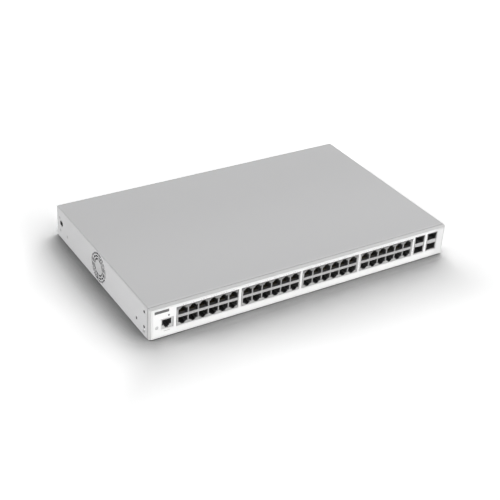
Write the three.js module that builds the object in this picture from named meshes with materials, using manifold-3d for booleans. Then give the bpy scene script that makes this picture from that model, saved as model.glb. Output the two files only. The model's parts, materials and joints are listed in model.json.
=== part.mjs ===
// Rackmount network switch, one rack unit high: 48 copper ports in four groups, four optical ports,
// a console port, a mode button, a side fan and a built-in power supply.
// Millimetres. +X is to the right seen from the front, the front faces -Y, +Z is up.
// The origin is at the bottom centre of the whole unit.
import * as THREE from "three";
import { mergeVertices } from "three/addons/utils/BufferGeometryUtils.js";
import Module from "manifold-3d";

const wasm = await Module();
wasm.setup();

// Shared sizes
const unitDepth = 273;
const sheet = 1; // steel sheet of the case
const fitGap = 0.3; // clearance between pieces that touch
const cutOverrun = 1.5; // how far a cutter runs past the face that it cuts

// Main board and what it stands on
const boardThickness = 1.6;
const standoffHeight = 8.7;
const standoffRadius = 3;
const boardSideGap = 2.2; // from the board's edge to the case wall

// Copper ports: stepped openings for the plug and its latch, in two mirrored rows
const jackColumns = 6;
const groupCount = 4;
const jackPitch = 13.8;
const jackWidth = 12.1;
const jackBodyHeight = 7.4;
const jackStepWidth = 7.4;
const jackStepHeight = 1.6;
const jackNotchWidth = 4.2;
const jackNotchHeight = 1.2;
const jackRowGap = 3.9;
const jackDepth = 18;
const shieldSheet = 0.4;
const shieldSide = 2.05; // metal beside the outermost opening
const shieldRim = 0.5; // metal above and below the notches
const portDepth = 26;
const portRecess = 0.3; // the shields sit this far behind the front face
const windowGap = 0.4; // between a connector and its window
const groupRib = 3; // bezel between two groups
const leftField = 35.7; // bezel left of the first group

// Optical ports: two cages of two
const cageCount = 2;
const sfpWidth = 14.1;
const sfpHeight = 9.7;
const sfpWall = 0.5;
const sfpFoot = 1; // under the lower opening
const sfpMiddle = 5.3; // between the lower and the upper opening
const sfpDepth = 47;
const sfpRecess = 0.3;
const sfpSocketDepth = 12;
const sfpSocketWidth = 11.4;
const sfpSlotHeight = 1.6;
const sfpSlotWidth = 9.6;
const sfpWindowGap = 0.75;
const firstSfpRib = 4; // bezel between the last group and the first cage
const sfpRib = 4.4;
const rightField = 14.7; // bezel right of the last cage

// Console port
const consoleWidth = 16.4;
const consoleHeight = 14.2;
const consoleDepth = 21;
const consoleRecess = 0.6;
const consoleFromLeft = 22.7;
const consoleBodyHeight = 8;
const consoleStepHeight = 2;
const consoleNotchHeight = 1.7;
const consoleRoof = 1; // from the top of the opening to the top of the shield
const consoleCavity = 15;

// Light pipes
const pipeWidth = 1.2;
const pipeHeight = 1.1;
const pipeRise = 2.3; // from the top of the shields to the row of lamps
const pipeHoleGap = 0.3;
const pipeRecess = 1;
const statusFromLeft = 25.3;
const statusRise = 18.7; // above the board's seat
const statusPipe = 1.8;

// Mode button
const buttonRadius = 2;
const buttonHoleGap = 0.35;
const buttonRecess = 0.2;
const buttonCollar = 3;
const buttonCollarDepth = 0.8;
const buttonStem = 1.3;
const buttonTravel = 0.6;
const buttonFromLeft = 9.6;
const buttonRise = 4.5;
const buttonLength = 8;
const switchWidth = 6;
const switchDepth = 3.5;
const switchHeight = 7;
const plungerRadius = 1.5;
const plungerLength = 0.8;

// Front bezel and the printed sheet on it
const bezelDepth = 5.3;
const bevelDepth = 3.1;
const bevelSide = 2.4;
const bevelBottom = 1.4;
const bevelTop = 1.5;
const bezelSkirt = 1;
const bezelFace = 2;
const bezelRim = 1.2; // rims round the windows, on the back of the face
const bezelCorner = 1.2;
const overlaySheet = 0.4;
const overlayInset = 1.2;
const overlayWindowGap = 0.4;

// Front plate
const plateFlange = 12;

// Cover and case
const coverBend = 1.5;
const coverFoot = 0.1; // the cover's sides end this far above the ground
const coverSeam = 0.5; // the cover's front edge stands this far behind the case's
const rearInset = 1.8; // the rear wall stands inside the cover's rear edge
const rearFlange = 10;
const topRoom = 5.9; // above the optical cages

// Fan and its vent
const fanSize = 40;
const fanRoom = 1;
const fanThickness = 20;
const fanFromFront = 136.1; // from the cover's front edge to the fan's axis
const fanBore = 18.8;
const fanScrewPitch = 32;
const fanBaseRadius = 9;
const fanBaseDepth = 2.4;
const fanStrut = 2.2;
const statorRadius = 6.7;
const statorDepth = 8;
const bearingRadius = 3;
const shaftRadius = 1.2;
const hubRadius = 9.3;
const hubWall = 1.9;
const hubDepth = 14.6;
const bladeCount = 7;
const bladeTipGap = 0.8;
const bladeSheet = 1.1;
const bladeChord = 12;
const bladeAngle = 0.95; // radians from the axis, at the hub
const bladeTwist = 0.35; // radians less at the tip
const ventHub = 9.4;
const ventRings = 3;
const ventSlot = 2.4;
const ventWeb = 1.5;
const ventSlotsPerRing = [8, 12, 16];
const ventPointsPerRing = [3, 2, 2]; // straight runs in each arc

// Air intake on the right side
const intakeColumns = 10;
const intakePitch = 6.4;
const intakeSlot = 3;
const intakeHeight = 13;
const intakeWeb = 4;

// Holes and screws of the sides
const earHoleRadius = 2.1;
const earThreadRadius = 1.6;
const earFromFront = 8.5;
const earSpacing = 19.9;
const earLow = 13;
const earHigh = 34.5;
const lockWidth = 7.4;
const lockHeight = 5;
const lockFromRear = 14.2;
const lockCentre = 23.5;
const screwHead = 2.3;
const screwHeadDepth = 0.7;
const screwShank = 1.2;
const screwLength = 6;
const screwHoleGap = 0.3;
const sideScrewFromFront = 8.7;
const sideScrewRise = 6.5;
const rearScrewFromSide = 30;

// Rear panel
const inletFromRight = 52.5;
const inletWidth = 27.4;
const inletHeight = 19.8;
const inletWall = 1.6;
const inletChamfer = 4.6;
const inletDepth = 19;
const inletCavity = 16;
const inletFlangeWidth = 50;
const inletFlangeHeight = 24;
const inletFlange = 2.4;
const inletScrewPitch = 40;
const pinThickness = 2;
const pinHeight = 4;
const pinLength = 13;
const pinSpacing = 7;
const pinOffset = 2;
const tabThickness = 0.8;
const tabHeight = 4.8;
const tabLength = 7;
const groundFromInlet = 45;
const panHead = 2.9;
const panHeadDepth = 1.5;

// Power supply
const psuWidth = 150;
const psuDepth = 92;
const psuStandoff = 5.7;
const psuFromSide = 8;
const psuFromRear = 26;
const bayGap = 8; // between the main board and the power supply

// Components
const chipSize = 31;
const chipHeight = 2.2;
const sinkSize = 45;
const sinkBase = 3;
const sinkHeight = 15;
const sinkFins = 8;
const sinkFin = 1.4;
const phySize = 18;
const phyHeight = 1.6;
const phyCount = 4;
const phyFromPorts = 14;
const processorSize = 24;
const processorHeight = 2;
const transformerWidth = 32;
const transformerDepth = 28;
const transformerHeight = 26;
const transformerCore = 9;
const transformerFlange = 2.5;
const capacitorRadius = 11;
const capacitorHeight = 28;
const psuSinkWidth = 46;
const psuSinkHeight = 27;
const psuSinkBase = 2.5;
const psuSinkFin = 5;
const psuSinkFins = 5;
const chokeOuter = 11;
const chokeInner = 5;
const chokeHeight = 10;
const transformerShares = [0.42, 0.5]; // places across and along the power supply's board
const capacitorShares = [0.72, 0.35];
const chokeShares = [0.72, 0.75];
const psuSinkShares = [0.16, 0.84];
const headerWidth = 8;
const headerDepth = 6;
const headerHeight = 6;
const fanLeadRadius = 1.3;
const mainsLeadRadius = 1.4;
const harnessRadius = 2.6;

// Places and sizes that follow from the values above
const boardBottom = sheet + standoffHeight + fitGap;
const boardTop = boardBottom + boardThickness;
const seat = boardTop + fitGap; // what stands on the board starts here
const jackHeight = jackBodyHeight + jackStepHeight + jackNotchHeight;
const shieldHeight = 2 * jackHeight + jackRowGap + 2 * shieldRim;
const shieldWidth = (jackColumns - 1) * jackPitch + jackWidth + 2 * shieldSide;
const shieldTop = seat + shieldHeight;
const groupWindow = shieldWidth + 2 * windowGap;
const cageWidth = sfpWidth + 2 * sfpWall;
const cageHeight = sfpFoot + 2 * sfpHeight + sfpMiddle + sfpWall;
const sfpWindow = cageWidth + 2 * sfpWindowGap;
const portsWidth = groupCount * groupWindow + (groupCount - 1) * groupRib;
const cagesWidth = cageCount * sfpWindow + (cageCount - 1) * sfpRib;
const unitWidth = leftField + portsWidth + firstSfpRib + cagesWidth + rightField;
const unitHeight = Math.max(seat + cageHeight + topRoom, fanSize + 2 * (sheet + fanRoom));
const half = unitWidth / 2;
const front = -unitDepth / 2;
const rear = unitDepth / 2;
const coverFront = front + bezelDepth;
const caseHalf = half - sheet - fitGap; // outer face of the case's side walls
const innerHalf = caseHalf - sheet;
const caseTop = unitHeight - sheet - fitGap;
const rearFace = rear - rearInset;
const rearInner = rearFace - sheet;
const plateBack = coverFront - fitGap;
const plateFront = plateBack - sheet;
const bezelBack = plateFront - fitGap;
const faceBack = front + bezelFace;
const pocketFloor = front + overlaySheet + fitGap;
const boardFront = plateBack + 2 * fitGap;
const groupCentres = Array.from({ length: groupCount }, (_, i) =>
  -half + leftField + groupWindow / 2 + i * (groupWindow + groupRib));
const cageCentres = Array.from({ length: cageCount }, (_, i) =>
  half - rightField - sfpWindow / 2 - (cageCount - 1 - i) * (sfpWindow + sfpRib));
const consoleX = -half + consoleFromLeft;
const statusX = -half + statusFromLeft;
const statusZ = seat + statusRise;
const buttonX = -half + buttonFromLeft;
const buttonZ = seat + buttonRise;
const lampZ = shieldTop + pipeRise;
const fanY = coverFront + fanFromFront;
const fanZ = unitHeight / 2;
const fanOuterX = -innerHalf + fitGap;
const psuRight = innerHalf - psuFromSide;
const psuLeft = psuRight - psuWidth;
const psuBack = rearInner - psuFromRear;
const psuFront = psuBack - psuDepth;
const psuBottom = sheet + psuStandoff + fitGap;
const psuSeat = psuBottom + boardThickness + fitGap;
const inletX = half - inletFromRight;
const inletZ = unitHeight / 2;
const fanBoardEdge = fanOuterX + fanThickness + 2 * boardSideGap;
const boardLeft = -innerHalf + boardSideGap;
const boardRight = innerHalf - boardSideGap;
const boardNotchFront = fanY - fanSize / 2 - 2 * boardSideGap;
const boardStepX = psuLeft - bayGap;
const boardStepY = psuFront - bayGap;
const boardRear = psuBack - bayGap;
const portBack = front + portRecess + portDepth;

// Materials, as the object shows them
const finish = (color, roughness, metalness) =>
  new THREE.MeshStandardMaterial({ color, roughness, metalness });
const coverPaint = finish(0xc4c4c6, 0.55, 0.25);
const zincSheet = finish(0xa9adb1, 0.42, 0.85);
const whitePlastic = finish(0xf4f4f3, 0.45, 0);
const overlayFilm = finish(0xfbfbfa, 0.5, 0);
const nickelShield = finish(0xb4b6b8, 0.35, 0.9);
const blackPlastic = finish(0x18191b, 0.55, 0);
const clearPlastic = finish(0xe6ecef, 0.15, 0);
const greyPlastic = finish(0xd3d4d5, 0.5, 0);
const boardGreen = finish(0x1d5a39, 0.5, 0.05);
const chipBlack = finish(0x222326, 0.6, 0);
const bareAluminium = finish(0xb9bcc0, 0.4, 0.9);
const steelScrew = finish(0x9a9c9f, 0.35, 0.9);
const copperWound = finish(0xb36f3a, 0.45, 0.6);
const blueSleeve = finish(0x1f2f4d, 0.45, 0);
const redLead = finish(0x7a2a24, 0.55, 0);
const blackLead = finish(0x1c1c1e, 0.55, 0);

// From a closed three.js geometry to a solid that can be joined and cut
function solid(geometry) {
  const loose = geometry.index ? geometry.toNonIndexed() : geometry;
  const bare = new THREE.BufferGeometry();
  bare.setAttribute("position", loose.getAttribute("position"));
  const merged = mergeVertices(bare);
  const corners = merged.index.array;
  const kept = [];
  for (let i = 0; i < corners.length; i += 3) {
    const [a, b, c] = [corners[i], corners[i + 1], corners[i + 2]];
    if (a !== b && b !== c && c !== a) kept.push(a, b, c); // faces shrunk to a line on an axis
  }
  return new wasm.Manifold(
    new wasm.Mesh({
      numProp: 3,
      vertProperties: merged.attributes.position.array,
      triVerts: new Uint32Array(kept),
    }),
  );
}

const join = (first, ...more) => more.reduce((sum, next) => sum.add(next), first);
const cut = (body, ...tools) => tools.reduce((left, tool) => left.subtract(tool), body);

function geometryOf(made) {
  const { numProp, vertProperties, triVerts } = made.getMesh();
  const positions = new Float32Array((vertProperties.length / numProp) * 3);
  for (let i = 0; i < positions.length / 3; i += 1)
    positions.set(vertProperties.subarray(i * numProp, i * numProp + 3), i * 3);
  const indexed = new THREE.BufferGeometry();
  indexed.setAttribute("position", new THREE.BufferAttribute(positions, 3));
  indexed.setIndex(new THREE.BufferAttribute(triVerts, 1));
  const geometry = indexed.toNonIndexed();
  geometry.computeVertexNormals();
  return geometry;
}

// A rectangular block between two values on each axis
function block(x0, x1, y0, y1, z0, z1) {
  const geometry = new THREE.BoxGeometry(x1 - x0, y1 - y0, z1 - z0);
  return solid(geometry.translate((x0 + x1) / 2, (y0 + y1) / 2, (z0 + z1) / 2));
}

// A shape pushed along one axis: drawn in (y, z) for x, in (x, z) for y and in (x, y) for z
function prism(shape, axis, from, to, curveSegments = 6) {
  const geometry = new THREE.ExtrudeGeometry(shape, {
    depth: to - from,
    bevelEnabled: false,
    curveSegments,
  });
  if (axis === "x") {
    const along = new THREE.Vector3(1, 0, 0);
    const across = new THREE.Vector3(0, 1, 0);
    const up = new THREE.Vector3(0, 0, 1);
    geometry.applyMatrix4(new THREE.Matrix4().makeBasis(across, up, along));
    geometry.translate(from, 0, 0);
  } else if (axis === "y") {
    geometry.rotateX(Math.PI / 2).translate(0, to, 0);
  } else geometry.translate(0, 0, from);
  return solid(geometry);
}

// A round taper along one axis, at the two other coordinates
function taper(axis, startRadius, endRadius, from, to, a, b, sides = 12) {
  const geometry = new THREE.CylinderGeometry(endRadius, startRadius, to - from, sides);
  const middle = (from + to) / 2;
  if (axis === "x") geometry.rotateZ(-Math.PI / 2).translate(middle, a, b);
  else if (axis === "y") geometry.translate(a, middle, b);
  else geometry.rotateX(Math.PI / 2).translate(a, b, middle);
  return solid(geometry);
}

function rod(axis, radius, from, to, a, b, sides = 12) {
  return taper(axis, radius, radius, from, to, a, b, sides);
}

function outline(points) {
  return new THREE.Shape(points.map(([a, b]) => new THREE.Vector2(a, b)));
}

function roundedRectangle(x0, x1, z0, z1, radius) {
  const shape = new THREE.Shape();
  shape.absarc(x1 - radius, z0 + radius, radius, -Math.PI / 2, 0);
  shape.absarc(x1 - radius, z1 - radius, radius, 0, Math.PI / 2);
  shape.absarc(x0 + radius, z1 - radius, radius, Math.PI / 2, Math.PI);
  shape.absarc(x0 + radius, z0 + radius, radius, Math.PI, Math.PI * 1.5);
  shape.closePath();
  return shape;
}

const unit = new THREE.Group();

function addPiece(parent, name, made, material) {
  const mesh = new THREE.Mesh(geometryOf(made), material);
  mesh.name = name;
  parent.add(mesh);
  return mesh;
}

function subGroup(x, y, z) {
  const group = new THREE.Group();
  group.position.set(x, y, z);
  unit.add(group);
  return group;
}

// The middle of each column of ports, from the middle of its group
function columnXs() {
  return Array.from({ length: jackColumns }, (_, i) => (i - (jackColumns - 1) / 2) * jackPitch);
}

// An opening in steps that narrow away from its flat edge: steps holds [width, reach] pairs.
// way is 1 where they narrow upwards and -1 where they narrow downwards.
function steppedOutline(centre, flat, way, steps) {
  const side = [[steps[0][0] / 2, 0]];
  steps.forEach(([width, reach], i) => {
    if (i) side.push([width / 2, steps[i - 1][1]]);
    side.push([width / 2, reach]);
  });
  const mirrored = side.map(([across, along]) => [-across, along]).reverse();
  return outline([...side, ...mirrored].map(([across, along]) => [centre + across, flat + way * along]));
}

// All the plug openings of one group, as cutters between two depths
function jackCutters(from, to, steps) {
  const middle = seat + shieldHeight / 2;
  return columnXs().flatMap((centre) =>
    [1, -1].map((way) =>
      prism(steppedOutline(centre, middle + (way * jackRowGap) / 2, way, steps), "y", from, to)));
}

// Case: floor, side walls, rear wall with its flange, and the standoffs pressed into the floor
function chassisBase() {
  const floor = block(-caseHalf, caseHalf, coverFront, rearFace, 0, sheet);
  const left = block(-caseHalf, -innerHalf, coverFront, rearFace, 0, caseTop);
  const right = block(innerHalf, caseHalf, coverFront, rearFace, 0, caseTop);
  const back = block(-caseHalf, caseHalf, rearInner, rearFace, 0, caseTop);
  const flange = block(-innerHalf, innerHalf, rearFace - rearFlange, rearFace, caseTop - sheet, caseTop);
  const standoffs = boardStandoffs.map(([x, y]) =>
    rod("z", standoffRadius, sheet / 2, boardBottom - fitGap, x, y, 8));
  const psuFeet = psuStandoffs.map(([x, y]) =>
    rod("z", standoffRadius, sheet / 2, psuBottom - fitGap, x, y, 8));
  return cut(
    join(floor, left, right, back, flange, ...standoffs, ...psuFeet),
    rod("x", fanBore + fitGap, -caseHalf - cutOverrun, -innerHalf + cutOverrun, fanY, fanZ, 24),
    ...fanScrewPlaces.map(([y, z]) => countersunkHole(-caseHalf, 1, y, z)),
    intakeWindow(),
    lockSlot(fitGap),
    ...earPlaces.flatMap(([y, z]) => bothSides(earThreadRadius, y, z)),
    ...bothSides(screwShank + screwHoleGap, sideScrewY, sideScrewRise),
    inletHole(),
    ...inletScrewXs.map((x) =>
      rod("y", screwShank + screwHoleGap, rearInner - cutOverrun, rearFace + cutOverrun, x, inletZ, 8)),
    rod("y", screwShank + screwHoleGap, rearInner - cutOverrun, rearFace + cutOverrun, groundX, inletZ, 8),
    ...rearScrewXs.map((x) =>
      rod("y", screwShank + screwHoleGap, rearInner - cutOverrun, rearFace + cutOverrun, x, rearScrewZ, 8)),
  );
}

// A hole through both side walls of the case or the cover
function bothSides(radius, y, z, from = innerHalf, to = caseHalf) {
  return [
    rod("x", radius, -to - cutOverrun, -from + cutOverrun, y, z, 10),
    rod("x", radius, from - cutOverrun, to + cutOverrun, y, z, 10),
  ];
}

// A countersunk hole through a side wall whose outer face is at x = face; way points inwards
function countersunkHole(face, way, y, z) {
  const hole = screwShank + screwHoleGap;
  const wide = screwHead + screwHoleGap;
  const along = (radius, endRadius, near, far) =>
    way > 0
      ? taper("x", radius, endRadius, face + near, face + far, y, z, 10)
      : taper("x", endRadius, radius, face - far, face - near, y, z, 10);
  return join(
    along(wide, wide, -cutOverrun, 0),
    along(wide, hole, 0, screwHeadDepth + screwHoleGap),
    along(hole, hole, 0, sheet + cutOverrun),
  );
}

const boardStandoffs = [
  [boardLeft + 3 * boardSideGap, boardNotchFront - 6 * boardSideGap],
  [fanBoardEdge + 3 * boardSideGap, boardRear - 3 * boardSideGap],
  [0, boardStepY - 3 * boardSideGap],
  [boardStepX - 3 * boardSideGap, boardRear - 3 * boardSideGap],
  [boardRight - 3 * boardSideGap, boardStepY - 3 * boardSideGap],
];
const psuStandoffs = [psuLeft + 3 * boardSideGap, psuRight - 3 * boardSideGap].flatMap((x) =>
  [psuFront + 3 * boardSideGap, psuBack - 3 * boardSideGap].map((y) => [x, y]));
const fanScrewPlaces = [1, -1].map((way) => [
  fanY + (way * fanScrewPitch) / 2,
  fanZ + (way * fanScrewPitch) / 2,
]);
const earPlaces = [
  [coverFront + earFromFront, earHigh],
  [coverFront + earFromFront, earLow],
  [coverFront + earFromFront + earSpacing, earLow],
];
const sideScrewY = coverFront + sideScrewFromFront;
const inletScrewXs = [inletX - inletScrewPitch / 2, inletX + inletScrewPitch / 2];
const groundX = inletX - groundFromInlet;
const rearScrewXs = [-half + rearScrewFromSide, 0];
const rearScrewZ = caseTop - sheet - 2 * panHead;
const intakeMiddle = (psuFront + psuBack) / 2;
const intakeLength = (intakeColumns - 1) * intakePitch + intakeSlot;

function intakeWindow() {
  const reach = intakeLength / 2 + intakeSlot;
  const rise = intakeHeight + intakeWeb;
  return block(innerHalf - cutOverrun, caseHalf + cutOverrun,
    intakeMiddle - reach, intakeMiddle + reach, fanZ - rise, fanZ + rise);
}

// The power inlet's outline, with its two cut corners at the top
function inletOutline(shrink) {
  const across = inletWidth / 2 - shrink;
  const up = inletHeight / 2 - shrink;
  const corner = inletChamfer - shrink / 2;
  return outline([
    [inletX - across, inletZ - up],
    [inletX + across, inletZ - up],
    [inletX + across, inletZ + up - corner],
    [inletX + across - corner, inletZ + up],
    [inletX - across + corner, inletZ + up],
    [inletX - across, inletZ + up - corner],
  ]);
}

function inletHole() {
  return prism(inletOutline(-fitGap), "y", rearInner - cutOverrun, rearFace + cutOverrun);
}

// Cover: a bent sheet over the top and both sides, with the fan's vent, the intake slots,
// the holes for the rack ears and the slot for a security lock
function topCover() {
  const bendCentre = half - coverBend;
  const bendTop = unitHeight - coverBend;
  const inner = coverBend - sheet;
  const shape = new THREE.Shape();
  shape.moveTo(half - sheet, coverFoot);
  shape.lineTo(half, coverFoot);
  shape.absarc(bendCentre, bendTop, coverBend, 0, Math.PI / 2);
  shape.absarc(-bendCentre, bendTop, coverBend, Math.PI / 2, Math.PI);
  shape.lineTo(-half, coverFoot);
  shape.lineTo(-half + sheet, coverFoot);
  shape.absarc(-bendCentre, bendTop, inner, Math.PI, Math.PI / 2, true);
  shape.absarc(bendCentre, bendTop, inner, Math.PI / 2, 0, true);
  shape.closePath();
  const shell = prism(shape, "y", coverFront + coverSeam, rear, 4);
  return cut(
    shell,
    ...ventCutters(),
    ...intakeCutters(),
    lockSlot(0),
    ...earPlaces.flatMap(([y, z]) => bothSides(earHoleRadius, y, z, half - sheet, half)),
    countersunkHole(-half, 1, sideScrewY, sideScrewRise),
    countersunkHole(half, -1, sideScrewY, sideScrewRise),
  );
}

// The slot for a security lock, through the left sides of the cover and the case
function lockSlot(margin) {
  const y = rear - lockFromRear;
  const across = lockWidth / 2 + margin;
  const up = lockHeight / 2 + margin;
  return block(-half - cutOverrun, -innerHalf + cutOverrun, y - across, y + across,
    lockCentre - up, lockCentre + up);
}

// Rings of short arcs round a blank middle
function ventCutters() {
  const cutters = [];
  for (let ring = 0; ring < ventRings; ring += 1) {
    const inside = ventHub + ventWeb / 2 + ring * (ventSlot + ventWeb);
    const outside = inside + ventSlot;
    const slots = ventSlotsPerRing[ring];
    const turn = (2 * Math.PI) / slots;
    const margin = ventWeb / (inside + outside);
    for (let slot = 0; slot < slots; slot += 1) {
      const start = slot * turn + margin;
      const end = (slot + 1) * turn - margin;
      const shape = new THREE.Shape();
      shape.absarc(fanY, fanZ, outside, start, end);
      shape.absarc(fanY, fanZ, inside, end, start, true);
      shape.closePath();
      cutters.push(prism(shape, "x", -half - cutOverrun, -half + sheet + cutOverrun,
        ventPointsPerRing[ring]));
    }
  }
  return cutters;
}

// Two rows of upright slots
function intakeCutters() {
  const cutters = [];
  for (let column = 0; column < intakeColumns; column += 1) {
    const y = intakeMiddle - intakeLength / 2 + column * intakePitch;
    for (const bottom of [fanZ + intakeWeb / 2, fanZ - intakeWeb / 2 - intakeHeight])
      cutters.push(block(half - sheet - cutOverrun, half + cutOverrun, y, y + intakeSlot,
        bottom, bottom + intakeHeight));
  }
  return cutters;
}

// Front plate: the steel wall behind the bezel, with a flange along its top and bottom
function frontPlate() {
  const bottom = sheet + fitGap;
  const flangeHalf = innerHalf - fitGap;
  const plate = join(
    block(-caseHalf, caseHalf, plateFront, plateBack, bottom, caseTop),
    block(-flangeHalf, flangeHalf, plateFront, plateBack + plateFlange, bottom, bottom + sheet),
    block(-flangeHalf, flangeHalf, plateFront, plateBack + plateFlange, caseTop - sheet, caseTop),
  );
  const through = (x0, x1, z0, z1) =>
    block(x0, x1, plateFront - cutOverrun, plateBack + cutOverrun, z0, z1);
  const lampTop = lampZ + pipeHeight / 2 + windowGap;
  return cut(
    plate,
    ...groupCentres.map((x) =>
      through(x - groupWindow / 2, x + groupWindow / 2, seat - fitGap, lampTop)),
    ...cageCentres.map((x) =>
      through(x - cageWidth / 2 - windowGap, x + cageWidth / 2 + windowGap, seat - fitGap,
        seat + cageHeight + windowGap)),
    through(consoleX - consoleWidth / 2 - windowGap, consoleX + consoleWidth / 2 + windowGap,
      seat - fitGap, seat + consoleHeight + windowGap),
    through(statusX - statusPipe / 2 - windowGap, statusX + statusPipe / 2 + windowGap,
      statusZ - statusPipe / 2 - windowGap, statusZ + statusPipe / 2 + windowGap),
    rod("y", buttonStem + 2 * buttonHoleGap, plateFront - cutOverrun, plateBack + cutOverrun,
      buttonX, buttonZ),
  );
}

// The windows of the bezel and of its printed sheet, wider by a margin
function faceWindows(margin, from, to) {
  const bottom = seat - windowGap - margin;
  const window = (x, width, top) =>
    block(x - width / 2 - margin, x + width / 2 + margin, from, to, bottom, top + margin);
  return [
    ...groupCentres.map((x) => window(x, groupWindow, shieldTop + windowGap)),
    ...cageCentres.map((x) => window(x, sfpWindow, seat + cageHeight + windowGap)),
    window(consoleX, consoleWidth + 2 * windowGap, seat + consoleHeight + windowGap),
  ];
}

// Front bezel: a moulded cap with a straight skirt and a bevel round its face
function frontBezel() {
  const bevelBack = front + bevelDepth;
  const skirtShape = roundedRectangle(-half, half, 0, unitHeight, bezelCorner);
  const skirt = prism(skirtShape, "y", bevelBack, plateBack, 3);
  const narrowing = new THREE.ExtrudeGeometry(skirtShape, {
    depth: bevelDepth,
    bevelEnabled: false,
    curveSegments: 3,
  }).rotateX(Math.PI / 2).translate(0, bevelBack, 0);
  const places = narrowing.getAttribute("position");
  const faceMiddle = (unitHeight + bevelBottom - bevelTop) / 2;
  const tall = (unitHeight - bevelBottom - bevelTop) / unitHeight;
  for (let i = 0; i < places.count; i += 1) {
    if (places.getY(i) > bevelBack - bevelDepth / 2) continue;
    places.setX(i, (places.getX(i) * (half - bevelSide)) / half);
    places.setZ(i, faceMiddle + (places.getZ(i) - unitHeight / 2) * tall);
  }
  const body = join(skirt, solid(narrowing));
  const seatSpace = block(-half + bezelSkirt, half - bezelSkirt, bezelBack, plateBack + cutOverrun,
    bezelSkirt, unitHeight - bezelSkirt);
  const hollow = cut(
    block(-half + bevelSide + bezelSkirt, half - bevelSide - bezelSkirt, faceBack, plateBack,
      bevelBottom + bezelSkirt, unitHeight - bevelTop - bezelSkirt),
    ...faceWindows(bezelRim, front, plateBack + cutOverrun),
  );
  const pocket = prism(overlayOutline(0), "y", front - cutOverrun, pocketFloor, 3);
  const lamps = groupCentres.flatMap((centre) =>
    columnXs().map((x) => lampHole(centre + x, lampZ, pipeWidth, pipeHeight)));
  return cut(
    body,
    seatSpace,
    hollow,
    pocket,
    ...faceWindows(0, front - cutOverrun, plateBack),
    ...lamps,
    lampHole(statusX, statusZ, statusPipe, statusPipe),
    rod("y", buttonRadius + buttonHoleGap, front - cutOverrun, plateBack, buttonX, buttonZ, 16),
  );
}

function overlayOutline(shrink) {
  const side = bevelSide + overlayInset + shrink;
  return roundedRectangle(-half + side, half - side, bevelBottom + overlayInset + shrink,
    unitHeight - bevelTop - overlayInset - shrink, bezelCorner);
}

function lampHole(x, z, width, height) {
  return block(x - width / 2 - pipeHoleGap, x + width / 2 + pipeHoleGap, front - cutOverrun, plateBack,
    z - height / 2 - pipeHoleGap, z + height / 2 + pipeHoleGap);
}

// The printed sheet that lies in the face's pocket; its lamp windows are clear print, not holes
function frontOverlay() {
  return cut(
    prism(overlayOutline(fitGap), "y", front, front + overlaySheet, 3),
    ...faceWindows(overlayWindowGap, front - cutOverrun, front + bezelFace),
    rod("y", buttonRadius + buttonHoleGap, front - cutOverrun, front + bezelFace, buttonX, buttonZ, 16),
  );
}

// One group of copper ports: the metal shield and the moulded body with its twelve cavities
function portShield() {
  const near = front + portRecess;
  const outside = block(-shieldWidth / 2, shieldWidth / 2, near, portBack, seat, shieldTop);
  const inside = block(-shieldWidth / 2 + shieldSheet, shieldWidth / 2 - shieldSheet,
    near + shieldSheet, portBack + cutOverrun, seat + shieldSheet, shieldTop - shieldSheet);
  const steps = [
    [jackWidth, jackBodyHeight],
    [jackStepWidth, jackBodyHeight + jackStepHeight],
    [jackNotchWidth, jackHeight],
  ];
  return cut(outside, inside, ...jackCutters(near - cutOverrun, near + cutOverrun, steps));
}

function portInsert() {
  const near = front + portRecess + shieldSheet + fitGap;
  const inset = shieldSheet + fitGap;
  const body = block(-shieldWidth / 2 + inset, shieldWidth / 2 - inset, near, portBack,
    seat + inset, shieldTop - inset);
  const steps = [[jackWidth, jackBodyHeight], [jackStepWidth, jackHeight + shieldRim]];
  return cut(body, ...jackCutters(near - cutOverrun, near + jackDepth, steps));
}

// A row of light pipes: each bar runs over the shield and down behind it to the board
function lightPipe() {
  const tip = front + pipeRecess;
  const down = portBack + fitGap;
  const bottom = lampZ - pipeHeight / 2;
  const bar = outline([
    [tip, bottom],
    [down, bottom],
    [down, seat],
    [down + pipeHeight, seat],
    [down + pipeHeight, bottom + pipeHeight],
    [tip, bottom + pipeHeight],
  ]);
  const bars = columnXs().map((x) => prism(bar, "x", x - pipeWidth / 2, x + pipeWidth / 2));
  const reach = ((jackColumns - 1) / 2) * jackPitch;
  const cross = block(-reach, reach, down - portDepth / 2, down - portDepth / 2 + 2 * pipeHeight,
    bottom, bottom + pipeHeight);
  return join(cross, ...bars);
}

function statusLightPipe() {
  const tip = front + pipeRecess;
  const down = front + consoleRecess + consoleDepth + fitGap;
  const bottom = statusZ - statusPipe / 2;
  const bar = outline([
    [tip, bottom],
    [down, bottom],
    [down, seat],
    [down + statusPipe, seat],
    [down + statusPipe, bottom + statusPipe],
    [tip, bottom + statusPipe],
  ]);
  return prism(bar, "x", statusX - statusPipe / 2, statusX + statusPipe / 2);
}

// Console port: one opening with its latch down
function consoleCutter(from, to) {
  const steps = [
    [jackWidth, consoleBodyHeight],
    [jackStepWidth, consoleBodyHeight + consoleStepHeight],
    [jackNotchWidth, consoleBodyHeight + consoleStepHeight + consoleNotchHeight],
  ];
  return prism(steppedOutline(0, seat + consoleHeight - consoleRoof, -1, steps), "y", from, to);
}

function consoleShield() {
  const near = front + consoleRecess;
  const far = near + consoleDepth;
  return cut(
    block(-consoleWidth / 2, consoleWidth / 2, near, far, seat, seat + consoleHeight),
    block(-consoleWidth / 2 + shieldSheet, consoleWidth / 2 - shieldSheet, near + shieldSheet,
      far + cutOverrun, seat + shieldSheet, seat + consoleHeight - shieldSheet),
    consoleCutter(near - cutOverrun, near + cutOverrun),
  );
}

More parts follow.
